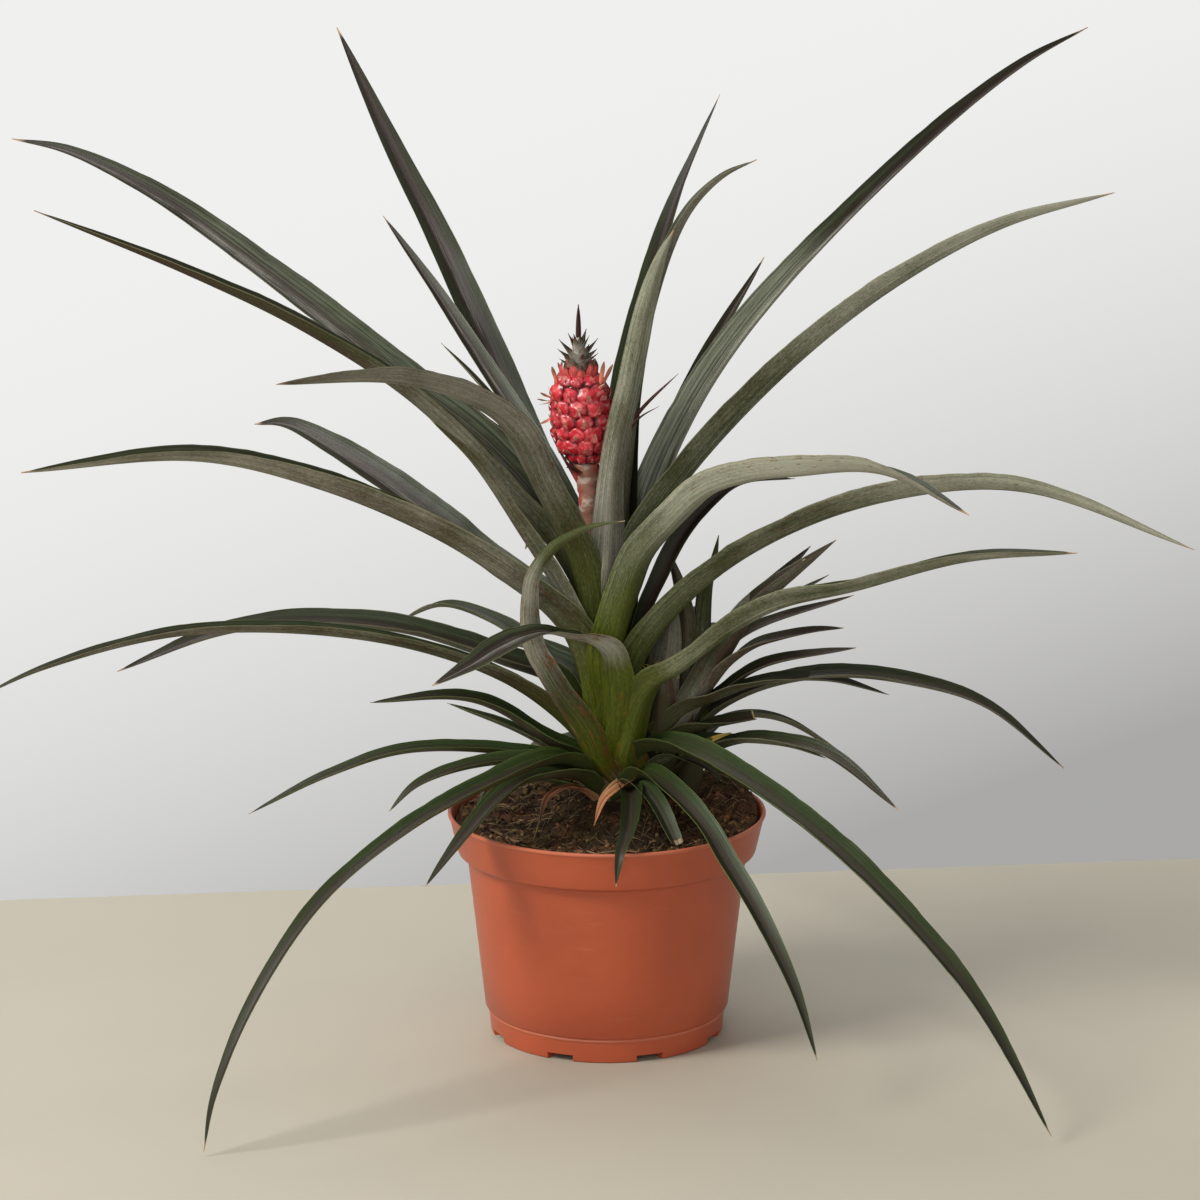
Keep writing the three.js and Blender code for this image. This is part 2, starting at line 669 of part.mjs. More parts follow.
function shootStem(grow) {
  const profile = [[86, 4.5], [92, 6.5], [108, 7], [130, 6], [150, 4.6], [168, 3], [180, 1.4]];
  return loft(profile.map(([z, radius]) => roundLoop(new THREE.Vector3(
    shootAxis.x + shootAxis.leanX * (z - shootAxis.base),
    shootAxis.y + shootAxis.leanY * (z - shootAxis.base), z), radius + grow, 12)));
}

function shootSolid() {
  const blades = shootBlades.map((blade) => {
    const tip = blade.route[blade.route.length - 1];
    return sprigBlade(shootAxis, blade, Math.round(3 + tip[0] / 34));
  });
  return joinAll([shootStem(0), ...blades]);
}

// Assembly

const group = new THREE.Group();

function addPiece(name, solid, material) {
  const mesh = new THREE.Mesh(toGeometry(solid), material);
  mesh.name = name;
  group.add(mesh);
}

function leafColour(name) {
  if (name.startsWith('leaf_upper')) return colours.upperLeaf;
  if (name.startsWith('leaf_lower')) return colours.lowerLeaf;
  if (name.startsWith('leaf_dry')) return colours.dryLeaf;
  return colours.middleLeaf;
}

const stemSpace = stemSolid(gap);
const leaves = nestedLeaves([stemSpace]);
const leafSpaces = Object.values(rosette).map((leaf) => bladeSolid(leafShape(leaf), gap));

function clearOf(solid, spaces) {
  const near = spaces.filter((space) => boxesMeet(solid, space));
  return largestPiece(near.reduce((rest, space) => rest.subtract(space), solid));
}

addPiece('pot', notchedPot(), finish(colours.pot, 0.45));
addPiece('soil', clearOf(soilSolid(), [stemSpace, shootStem(gap)]), finish(colours.soil, 0.95));
addPiece('stem', stemSolid(0), finish(colours.stem, 0.7));
for (const [name, solid] of Object.entries(leaves)) {
  addPiece(name, solid, finish(leafColour(name), 0.45));
}
const bractPiece = clearOf(bractSolid(), [stemSpace, fruitSolid(gap), ...leafSpaces]);
addPiece('fruit_bracts', bractPiece, finish(colours.bract, 0.6));
addPiece('fruit', fruitSolid(0), finish(colours.fruit, 0.35));
addPiece('crown', crownSolid(), finish(colours.crown, 0.6));
addPiece('side_shoot', clearOf(shootSolid(), [stemSpace, ...leafSpaces]), finish(colours.shoot, 0.5));

export default group;
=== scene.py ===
# A potted ornamental pineapple: the finished look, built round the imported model.
# Routes and sizes are in millimetres and become metres in each mesh. The front is -Y and up is +Z.

import math
import random

import bmesh
import bpy
import numpy as np
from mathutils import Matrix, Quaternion, Vector, noise


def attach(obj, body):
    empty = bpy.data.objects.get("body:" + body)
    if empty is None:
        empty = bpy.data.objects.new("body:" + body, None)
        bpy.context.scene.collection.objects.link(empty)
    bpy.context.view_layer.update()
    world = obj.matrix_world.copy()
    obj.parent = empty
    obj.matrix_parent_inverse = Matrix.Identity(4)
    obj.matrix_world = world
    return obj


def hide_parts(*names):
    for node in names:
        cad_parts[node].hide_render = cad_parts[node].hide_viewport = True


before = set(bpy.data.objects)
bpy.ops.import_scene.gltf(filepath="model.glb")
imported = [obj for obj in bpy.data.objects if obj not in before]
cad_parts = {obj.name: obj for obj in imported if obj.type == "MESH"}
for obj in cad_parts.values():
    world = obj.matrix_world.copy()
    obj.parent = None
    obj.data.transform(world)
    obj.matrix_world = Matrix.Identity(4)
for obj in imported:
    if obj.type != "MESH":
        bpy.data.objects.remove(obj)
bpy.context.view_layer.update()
print("frame loaded")

mm = 0.001
chance = random.Random(11)  # the one source of chance, so each run gives the same plant


def lerp(first, second, share):
    return first + (second - first) * share


def eased(value, low, high):
    share = min(1, max(0, (value - low) / (high - low)))
    return share * share * (3 - 2 * share)


# Material nodes

class Value:
    # A node's output, so that sums of outputs and numbers can be written plainly
    def __init__(self, tree, socket):
        self.tree = tree
        self.socket = socket

    def __add__(self, other):
        return self.tree.maths("ADD", self, other)

    def __sub__(self, other):
        return self.tree.maths("SUBTRACT", self, other)

    def __mul__(self, other):
        return self.tree.maths("MULTIPLY", self, other)


class Nodes:
    # Short calls for the nodes that are used here
    def __init__(self, tree):
        self.nodes = tree.nodes
        self.links = tree.links

    def feed(self, socket, value):
        if isinstance(value, Value):
            self.links.new(value.socket, socket)
        elif socket.type == "RGBA":
            socket.default_value = (*value, 1)
        else:
            socket.default_value = value

    def add(self, kind, inputs=None, output=0, **settings):
        made = self.nodes.new("ShaderNode" + kind)
        for setting, value in settings.items():
            setattr(made, setting, value)
        for socket, value in (inputs or {}).items():
            self.feed(made.inputs[socket], value)
        return Value(self, made.outputs[output])

    def maths(self, what, *values):
        return self.add("Math", dict(enumerate(values)), operation=what)

    def mix(self, share, first, second, how="MIX"):
        return self.add("Mix", {0: share, 6: first, 7: second}, 2, data_type="RGBA", blend_type=how)

    def parts(self, value, kind="Color"):
        split = self.add("Separate" + kind, {0: value}).socket.node
        return [Value(self, part) for part in split.outputs]


class Finish(Nodes):
    # A material, with its shader and the patterns that are painted on a piece or lie in its space
    def __init__(self, name, sockets):
        self.material = bpy.data.materials.new(name)
        self.material.use_nodes = True
        super().__init__(self.material.node_tree)
        self.place = self.add("TexCoord", output="Object")
        self.wear(sockets)

    def wear(self, sockets):
        for socket, value in sockets.items():
            self.feed(self.nodes["Principled BSDF"].inputs[socket], value)

    def bump(self, height, strength, distance):
        normal = self.add("Bump", {"Height": height, "Strength": strength, "Distance": distance})
        self.wear({"Normal": normal})

    def painted(self, layer):
        colour = self.add("Attribute", output="Color", attribute_name=layer)
        return [*self.parts(colour), Value(self, colour.socket.node.outputs["Alpha"])]

    def between(self, value, low, high, start=0.0, end=1.0):
        return self.add("MapRange", {0: value, 1: low, 2: high, 3: start, 4: end},
                        interpolation_type="SMOOTHSTEP")

    def noise(self, scale, detail=3.0, roughness=0.5, place=None):
        # Three numbers as the scale stretch the pattern
        place = place or self.place
        if isinstance(scale, tuple):
            place, scale = self.add("Mapping", {"Vector": place, "Scale": scale}), 1
        return self.add("TexNoise", {"Vector": place, "Scale": scale, "Detail": detail,
                                     "Roughness": roughness})

    def shaded(self, colour, level):
        return self.mix(1.0, colour, self.add("CombineColor", {0: level, 1: level, 2: level}), "MULTIPLY")


# Pieces

def addObject(name, data):
    made = bpy.data.objects.new(name, data)
    bpy.context.scene.collection.objects.link(made)
    return made


def toPiece(name, bm, material, node, scale=mm):
    bmesh.ops.scale(bm, vec=(scale, scale, scale), verts=bm.verts)
    for face in bm.faces:
        face.smooth = True
    mesh = bpy.data.meshes.new(name)
    bm.to_mesh(mesh)
    bm.free()
    mesh.materials.append(material)
    piece = addObject(name, mesh)
    if node:
        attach(piece, "root")
        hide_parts(node)
    return piece


def turned(bm, profile, steps):
    # The profile's points (radius, height) spun round the upright axis into a closed skin
    verts = [bm.verts.new((radius, 0, z)) for radius, z in profile]
    edges = [bm.edges.new(pair) for pair in zip(verts, verts[1:])]
    bmesh.ops.spin(bm, geom=verts + edges, axis=(0, 0, 1), cent=(0, 0, 0), angle=math.tau,
                   steps=steps, use_merge=True)
    bmesh.ops.remove_doubles(bm, verts=bm.verts, dist=0.001)
    bmesh.ops.recalc_face_normals(bm, faces=bm.faces)


def smoothLine(points, perSpan=14):
    # A smooth centripetal curve through the points, as dense points
    ends = [2 * points[0] - points[1], *points, 2 * points[-1] - points[-2]]
    line = []
    for before, start, end, after in zip(ends, ends[1:], ends[2:], ends[3:]):
        first, middle, last = [
            max((b - a).length, 1e-6) ** 0.5 for a, b in ((before, start), (start, end), (end, after))]
        leaving = (start - before) / first - (end - before) / (first + middle) + (end - start) / middle
        arriving = (end - start) / middle - (after - start) / (middle + last) + (after - end) / last
        for step in range(perSpan):
            w = step / perSpan
            line.append(
                start * (2 * w ** 3 - 3 * w ** 2 + 1) + leaving * middle * (w ** 3 - 2 * w ** 2 + w)
                + end * (3 * w ** 2 - 2 * w ** 3) + arriving * middle * (w ** 3 - w ** 2))
    line.append(points[-1])
    return line


def evenStations(points, count):
    # Even stations along the curve, the way it runs at each, and its whole length
    line = smoothLine(points)
    reached = [0]
    for a, b in zip(line, line[1:]):
        reached.append(reached[-1] + (b - a).length)
    centres = []
    k = 0
    for i in range(count + 1):
        target = reached[-1] * i / count
        while k < len(line) - 2 and reached[k + 1] < target:
            k += 1
        centres.append(line[k].lerp(line[k + 1], (target - reached[k]) / (reached[k + 1] - reached[k])))
    ways = [(centres[min(i + 1, count)] - centres[max(i - 1, 0)]).normalized() for i in range(count + 1)]
    return centres, ways, reached[-1]


# Blades: every leaf, bract, straw and fibre is one

# What a blade may set for itself. Values in a tuple are spaced evenly along it, and thick is at both
# ends. facing is where its upper side looks, in degrees, at both ends. cut is where a broken blade ends.
bladeDefaults = {
    "width": 20, "widths": (1, 1), "facing": (0, 0), "roll": (0, 0), "hollows": (0.75, 0.7, 0.6),
    "foot": 0.8, "sheath": 0, "taper": 3, "cut": 1, "columns": 12, "rows": 80, "thick": (1.1, 0.6),
    "edge": 0.35, "ripple": 0.05, "look": (0.5, 0.5, 0.3), "dryEnd": 1,
}
# What all blades share
bladeForm = {
    "clasp": 1.12, "claspEnd": 0.16, "settleEnd": 0.35, "tipPower": 0.85, "leastHalf": 0.25,
    "sheathEnd": 0.2, "longRipple": 22, "shortRipple": 7, "gutterPower": 1.4, "flare": 0.04,
    "dryFade": 0.04,
}


def bladeLayers(bm):
    bm.verts.layers.float_color.new("blade")
    bm.verts.layers.float_color.new("look")
    bm.loops.layers.uv.new("leafMap")


def paintBlank(bm, blade, look):
    # Gives a plain shape among blades the values that their finish reads
    blades, looks = bm.verts.layers.float_color["blade"], bm.verts.layers.float_color["look"]
    for vert in bm.verts:
        vert[blades] = blade
        vert[looks] = look


def along(values, t):
    # Values spaced evenly along a blade
    return float(np.interp(t, np.linspace(0, 1, len(values)), values))


def widthShare(t, foot, taper):
    # How wide the blade is along its length, as a share of its full width. A narrow foot clasps the stem.
    share = 1
    if foot < 1:
        clasp = lerp(foot, bladeForm["clasp"], eased(t, 0, bladeForm["claspEnd"]))
        share = lerp(clasp, min(clasp, 1), eased(t, bladeForm["claspEnd"], bladeForm["settleEnd"]))
    return share * max(0, 1 - t ** taper) ** bladeForm["tipPower"]


def lookAlong(look, t):
    # look is how purple, silvery, green and dry the blade is, dry being 0 where it's left out: one set of
    # values, green only at the foot, or sets by share of the length
    if not isinstance(look, dict):
        purple, scurf, green, dry = (*look, 0)[:4]
        look = {0: (purple, scurf * 0.3, green, dry), 0.06: (purple, scurf * 0.3, green, dry),
                0.26: (purple, scurf * 0.7, 0, dry), 0.45: (purple, scurf, 0, dry)}
    stops = sorted(look)
    return [np.interp(t, stops, [(*look[stop], 0)[i] for stop in stops]) for i in range(4)]


slabs = {}


def flatSlab(columns, rows):
    # A flat slab whose points say where they sit on a blade: x across, y along, z below
    if (columns, rows) not in slabs:
        bm = bmesh.new()
        bladeLayers(bm)
        bmesh.ops.create_grid(bm, x_segments=columns, y_segments=rows, size=1)
        bmesh.ops.solidify(bm, geom=bm.faces[:], thickness=1)
        for face in bm.faces:
            face.normal_update()
        for edge in bm.edges:
            edge.smooth = edge.calc_face_angle(0) < 0.5
        mesh = bpy.data.meshes.new("slab")
        bm.to_mesh(mesh)
        bm.free()
        place = np.empty(len(mesh.vertices) * 3)
        mesh.vertices.foreach_get("co", place)
        corners = np.empty(len(mesh.loops), int)
        mesh.loops.foreach_get("vertex_index", corners)
        slabs[columns, rows] = (mesh, place.reshape(-1, 3), corners)
    return slabs[columns, rows]


def addBlade(bm, path, **settings):
    # A leaf: a thin slab bent along its midrib and hollowed like a gutter on its upper face
    blade = {**bladeDefaults, **settings}
    form = bladeForm
    rows = blade["rows"]
    seed = chance.uniform(0, 90)
    tint = chance.random()
    centres, ways, length = evenStations(path, rows)
    acrosses, ups, halves, hollows, waves = [], [], [], [], []
    for i, way in enumerate(ways):
        t = i / rows
        facing = math.radians(lerp(*blade["facing"], t))
        across = Vector((-math.sin(facing), math.cos(facing), 0))
        across = (across - way * across.dot(way)).normalized()
        across.rotate(Quaternion(way, math.radians(along(blade["roll"], t))))
        acrosses.append(across)
        ups.append(way.cross(across))
        share = widthShare(t * blade["cut"], blade["foot"], blade["taper"]) * along(blade["widths"], t)
        halves.append(max(blade["width"] / 2 * share, form["leastHalf"]))
        rolled = blade["sheath"] * (1 - eased(t, 0, form["sheathEnd"]))
        hollows.append(along(blade["hollows"], t) + rolled)
        waves.append([2 * noise.noise(Vector((t * length / form["longRipple"], end + seed, seed)))
                      + noise.noise(Vector((t * length / form["shortRipple"], end + seed, seed + 7)))
                      for end in (-2, 2)])
    slab, place, corners = flatSlab(blade["columns"], rows)
    side = -place[:, 0]
    row = np.rint((place[:, 1] + 1) / 2 * rows).astype(int)
    under = place[:, 2] < -0.5
    t = row / rows
    half = np.array(halves)[row]
    wave = np.array(waves)[row, (side > 0).astype(int)] * blade["ripple"] * side ** 2
    lift = half * (np.array(hollows)[row] * abs(side) ** form["gutterPower"] + wave)
    middle = lerp(*blade["thick"], t) * np.minimum(1, half / 2)
    depth = middle + (blade["edge"] * np.minimum(1, half) - middle) * side ** 2
    height = lift + np.where(under, -depth, depth) / 2
    spread = side * half * (1 + form["flare"] * wave)
    points = np.array(centres)[row] + np.array(acrosses)[row] * spread[:, None]
    points += np.array(ups)[row] * height[:, None]
    purple, scurf, green, dry = lookAlong(blade["look"], t)
    ending = np.clip((t - blade["dryEnd"]) / form["dryFade"] + 0.5, 0, 1)
    mesh = slab.copy()
    mesh.vertices.foreach_set("co", points.ravel())
    mesh.attributes["blade"].data.foreach_set(
        "color", np.stack([t, abs(side), under, np.full(len(t), tint)], 1).ravel())
    mesh.attributes["look"].data.foreach_set(
        "color", np.stack([purple, scurf, green, np.maximum(dry, ending)], 1).ravel())
    flat = np.stack([side * blade["width"] / 2 + seed, t * length], 1) * mm
    mesh.uv_layers["leafMap"].data.foreach_set("uv", flat[corners].ravel())
    bm.from_mesh(mesh)
    bpy.data.meshes.remove(mesh)


def routed(axis, azimuth, route):
    # The points of a route: reach from the upright axis towards azimuth, height, and swing aside if given
    angle = math.radians(azimuth)
    out = Vector((math.cos(angle), math.sin(angle), 0))
    aside = Vector((-math.sin(angle), math.cos(angle), 0))
    return [Vector((*axis, height)) + out * reach + aside * (swing[0] if swing else 0)
            for reach, height, *swing in route]


def addSprig(bm, axis, azimuth, route, **settings):
    addBlade(bm, routed(axis, azimuth, route), **{"facing": (azimuth, azimuth), **settings})


# Leaf finish: streaky green with a dark purple-brown middle above, olive under a silvery bloom below

leafTones = {
    "green": (0.020, 0.030, 0.010), "bright": (0.072, 0.092, 0.046), "purple": (0.024, 0.014, 0.010),
    "brown": (0.060, 0.038, 0.020), "olive": (0.042, 0.062, 0.012), "silver": (0.340, 0.355, 0.262),
    "mauve": (0.230, 0.195, 0.175), "glaze": (0.330, 0.325, 0.290), "margin": (0.260, 0.250, 0.140),
    "foot": (0.090, 0.112, 0.004), "footShade": (0.042, 0.056, 0.003), "tan": (0.400, 0.280, 0.160),
    "husk": (0.110, 0.062, 0.026), "pale": (0.300, 0.240, 0.150), "stain": (0.110, 0.042, 0.014),
}
# Grains drawn out along the leaf: scale across, scale along, detail, roughness
leafGrains = {
    "veins": (1700, 5, 2, 0.5), "flecks": (1300, 60, 3, 0.6), "bands": (260, 8, 2, 0.5),
    "patches": (60, 22, 4, 0.6), "scars": (620, 130, 4, 0.65), "dashes": (2400, 420, 2, 0.6),
}
# Where each tone starts and where it's full, then its share at both if that isn't none and all
leafSpans = {
    "streaks": (0.42, 0.66), "middle": (0.25, 0.75, 1, 0), "farther": (0.35, 0.9),
    "band": (0.02, 0.42, 1, 0), "glaze": (0.36, 0.72), "hoary": (0.9, 1.6),
    "hoaryStreaks": (0.34, 0.62, 0.2, 0.75), "silver": (1.36, 2.24), "browned": (0.34, 0.62, 0.25, 0.95),
    "margin": (0.955, 0.995, 0, 0.5), "marginBands": (0.3, 0.6, 0.4, 1), "footFlecks": (0.36, 0.66),
    "foot": (0.1, 0.75), "stain": (0.63, 0.74, 0, 0.8), "tip": (0.978, 0.994), "husk": (0.4, 0.62),
    "dry": (0.62, 0.84), "roughness": (0, 1, 0.3, 0.5),
}
leafGloss = {"ior": 1.31, "dryRoughness": 0.82, "bloom": 1900, "bump": 0.4, "bumpDistance": 0.00035}


def leafFinish(name, **changes):
    tones = {**leafTones, **changes}
    leaf = Finish(name, {"IOR": leafGloss["ior"]})
    share, side, under, tint = leaf.painted("blade")
    purple, scurf, green, dry = leaf.painted("look")
    strip = leaf.add("UVMap", uv_map="leafMap")
    veins, flecks, bands, patches, scars, dashes = [
        leaf.noise((wide, tall, 1), detail, roughness, strip)
        for wide, tall, detail, roughness in leafGrains.values()]
    bloom = leaf.noise(leafGloss["bloom"], 2)
    wander = bands * 0.8 + patches * 0.5 - 0.65
    streaks = veins * 0.6 + flecks * 0.4

    def span(value, part):
        return leaf.between(value, *leafSpans[part])

    # Upper face
    bright = span(wander * 0.4 + streaks, "streaks") * (scurf * 0.7 + 0.1)
    sides = leaf.mix(bright, tones["green"], tones["bright"])
    middle = purple * (span(share, "farther") * 0.3 + span(side + wander, "middle") * 0.9 + 0.1)
    top = leaf.mix(leaf.maths("MINIMUM", middle, 0.95), sides, tones["purple"])
    # A pale band along the groove of the upper face: partly the leaf's own silvery scurf, partly a painted
    # sheen where light glints in the groove
    glaze = span(side + wander, "band") * span(wander * 1.2 + streaks, "glaze") * scurf
    top = leaf.mix(glaze * 0.8, top, tones["glaze"])
    top = leaf.mix(span(scurf, "hoary") * span(streaks, "hoaryStreaks"), top, tones["silver"])

    # Under face
    worn = streaks * 0.6 + dashes * 0.45 + bloom * 0.3 + patches * 1.2
    olive = leaf.mix(purple * span(bands, "browned"), tones["olive"], tones["brown"])
    silver = leaf.mix(purple * 0.6, tones["silver"], tones["mauve"])
    colour = leaf.mix(under, top, leaf.mix(span(scurf + worn, "silver"), olive, silver))

    # Margin, foot, stains, tip and dry parts on both
    colour = leaf.mix(span(side, "margin") * span(bands, "marginBands"), colour, tones["margin"])
    foot = leaf.mix(span(dashes * 0.4 + flecks * 0.6, "footFlecks"), tones["footShade"], tones["foot"])
    colour = leaf.mix(span(wander * 0.4 + green, "foot"), colour, foot)
    stained = span(dry * (side * 0.26 + 0.12) + scars, "stain")
    colour = leaf.mix(stained * under, colour, tones["stain"])
    colour = leaf.mix(span(share, "tip"), colour, tones["tan"])
    husk = leaf.mix(span(streaks + wander, "husk"), tones["husk"], tones["pale"])
    dryShare = span(dry + wander, "dry")
    colour = leaf.mix(dryShare, colour, husk)
    level = veins * 1.1 + dashes * 0.6 + bloom * 0.3 + tint * 0.2 - 0.12
    rough = flecks * 0.2 + span(under, "roughness")
    rough = leaf.maths("MAXIMUM", rough, dryShare * leafGloss["dryRoughness"])
    leaf.wear({"Base Color": leaf.shaded(colour, level), "Roughness": rough})
    leaf.bump(bloom * 0.1 + flecks * 0.4 + veins, leafGloss["bump"], leafGloss["bumpDistance"])
    return leaf.material


# The rosette: each leaf leaves the stem at the height seat, towards azimuth (degrees from +X to +Y). Its
# upper side looks that way, turned by start at the foot and by turn at the tip.

plant = {"x": 3, "lean": 0.081, "leanStart": 118, "seatGap": 0.8, "sheath": 0.35}
stemProfile = [
    (78, 6), (84, 9.5), (104, 11), (128, 11), (150, 9.5), (175, 7.2), (200, 5.4), (216, 4.5),
    (240, 4.6), (258, 4.9), (269, 5.3), (274.9, 6.4),
]


def stemX(z):
    return plant["x"] - plant["lean"] * max(0, z - plant["leanStart"])


def stemRadius(z):
    above = next(i for i, (height, radius) in enumerate(stemProfile) if height > z)
    (z0, r0), (z1, r1) = stemProfile[above - 1:above + 1]
    return lerp(r0, r1, (z - z0) / (z1 - z0))


upperLeaves = {
    "leaf_upper_01": dict(
        azimuth=270, seat=190, width=17.5, turn=10, widths=(1, 0.95, 0.72, 0.78, 1, 1.2),
        look={0: (0.8, 0.1, 0.4), 0.2: (1, 0.75, 0), 0.42: (0.95, 0.55, 0, 0.1), 0.55: (0.7, 0.5, 0.12),
              0.75: (0.35, 0.7, 0.05)},
        route=[(15, 232, -3), (18, 278), (26, 318, 8), (34, 354, 15), (42, 380, 22), (46, 392, 27)]),
    "leaf_upper_02": dict(
        azimuth=72, seat=196, width=17, roll=(0, -10, -30), widths=(1, 1, 1, 0.8, 0.55, 0.45),
        look=(0.9, 0.3, 0.1), route=[(12, 240), (25, 300), (54, 341), (92, 378), (169, 423)]),
    "leaf_upper_03": dict(
        azimuth=4, seat=193, width=17, hollows=(0.9, 1, 0.9), look=(0.8, 0.55, 0.1),
        route=[(6, 230), (8, 267), (17, 338), (34, 389), (50, 407.5), (66, 416)]),
    "leaf_upper_04": dict(
        azimuth=118, seat=191, width=17, roll=(0, -25), widths=(0.7, 0.85, 1, 1, 1, 1),
        look={0: (0.8, 0.8, 0.1), 0.3: (0.9, 0.85, 0), 0.5: (1, 0.5, 0), 0.7: (1, 0.05, 0)},
        route=[(38, 221), (89, 269), (139, 314), (184, 353), (229, 387), (296, 442)]),
    "leaf_upper_05": dict(
        azimuth=129, seat=186, width=12, roll=(0, -15),
        look={0: (0.8, 0.5, 0.1), 0.4: (0.9, 0.9, 0), 1: (1, 0.2, 0)},
        route=[(27, 232), (47, 260), (74, 284), (106, 311), (140, 339), (177, 367)]),
    "leaf_upper_06": dict(
        azimuth=28, seat=184, width=17, roll=(5, 15, 24), hollows=(0.8, 1, 0.9),
        widths=(1.1, 1.1, 0.95, 0.78, 0.85, 1),
        look={0: (0.5, 0.7, 0.2), 0.2: (0.3, 1.5, 0), 0.5: (0.5, 1.4, 0), 0.68: (1, 0.5, 0),
              1: (1, 0.1, 0)},
        route=[(17, 236), (32, 274), (56, 312), (95, 353), (174, 416), (222, 446), (257, 461)]),
    "leaf_upper_07": dict(
        azimuth=50, seat=188, width=10, roll=(0, 20), look=(0.8, 0.3, 0.1),
        route=[(14, 205), (30, 261), (64, 309), (112, 356)]),
    "leaf_upper_08": dict(
        azimuth=156, seat=180, width=21, roll=(-5, -22, -32), hollows=(0.75, 0.85, 0.8),
        look={0: (0.7, 0.9, 0.2), 0.25: (0.8, 1.05, 0), 0.7: (0.9, 1.08, 0), 1: (1, 0.4, 0)},
        route=[(27, 229), (62, 270), (112, 304), (174, 344), (234, 380), (285, 401), (317, 406)]),
    "leaf_upper_12": dict(
        azimuth=158, seat=184, width=9, look=(0.8, 0.3, 0.2),
        route=[(20, 240), (42, 278), (68, 307), (87, 325)]),
    "leaf_upper_13": dict(
        azimuth=180, seat=170, width=9, look=(0.8, 0.3, 0.2), route=[(16, 226), (37, 274), (66, 302)]),
    "leaf_upper_09": dict(
        azimuth=228, seat=172, width=23, roll=(0, 15, 25), widths=(0.85, 0.83, 0.85, 0.9, 1.2, 1.4),
        look={0: (0.6, 0.1, 0.8), 0.15: (0.6, 0.25, 0.5), 0.3: (0.7, 0.35, 0.25, 0.1),
              0.42: (0.9, 0.45, 0, 0.2), 0.6: (1, 0.7, 0), 1: (1, 0.6, 0)},
        route=[(24, 230, -4), (48, 269, -2), (72, 302), (106, 322), (147, 335), (218, 345)]),
    "leaf_upper_10": dict(
        azimuth=-20, seat=172, width=20, roll=(-5, -40),
        look={0: (0.4, 0.1, 0.6), 0.15: (0.4, 0.35, 0.4), 0.4: (0.4, 0.45, 0.15), 1: (0.5, 0.8, 0)},
        route=[(8, 220), (31, 262), (77, 316), (128, 361), (182, 395), (236, 415)]),
    "leaf_upper_11": dict(
        azimuth=190, seat=168, width=18, roll=(5, 0, -14), hollows=(0.8, 1.1, 1.2),
        widths=(1, 1, 0.9, 0.7, 0.62, 0.62),
        look={0: (0.7, 0.5, 0.5), 0.2: (0.6, 0.4, 0.3), 0.45: (0.8, 0.4, 0), 0.6: (1, 0.1, 0),
              1: (1, 0, 0)},
        route=[(11, 195), (27, 231), (51, 261), (93, 306), (144, 342), (195, 369), (265, 401)]),
    "leaf_upper_14": dict(
        azimuth=206, seat=156, width=15, roll=(0, 20),
        look={0: (0.5, 0.4, 0.5), 0.4: (0.9, 0.5, 0.1), 1: (1, 0.2, 0)},
        route=[(10, 172), (29, 215), (48, 246), (72, 282), (93, 304)]),
    "leaf_upper_15": dict(
        azimuth=5, seat=166, width=11, roll=(10, 35, 50, 20), look=(1, 0.05, 0.1),
        route=[(13, 185), (18, 206), (23.5, 219), (30, 234), (37.5, 246), (47, 256), (59, 264),
               (85, 265.5)]),
}
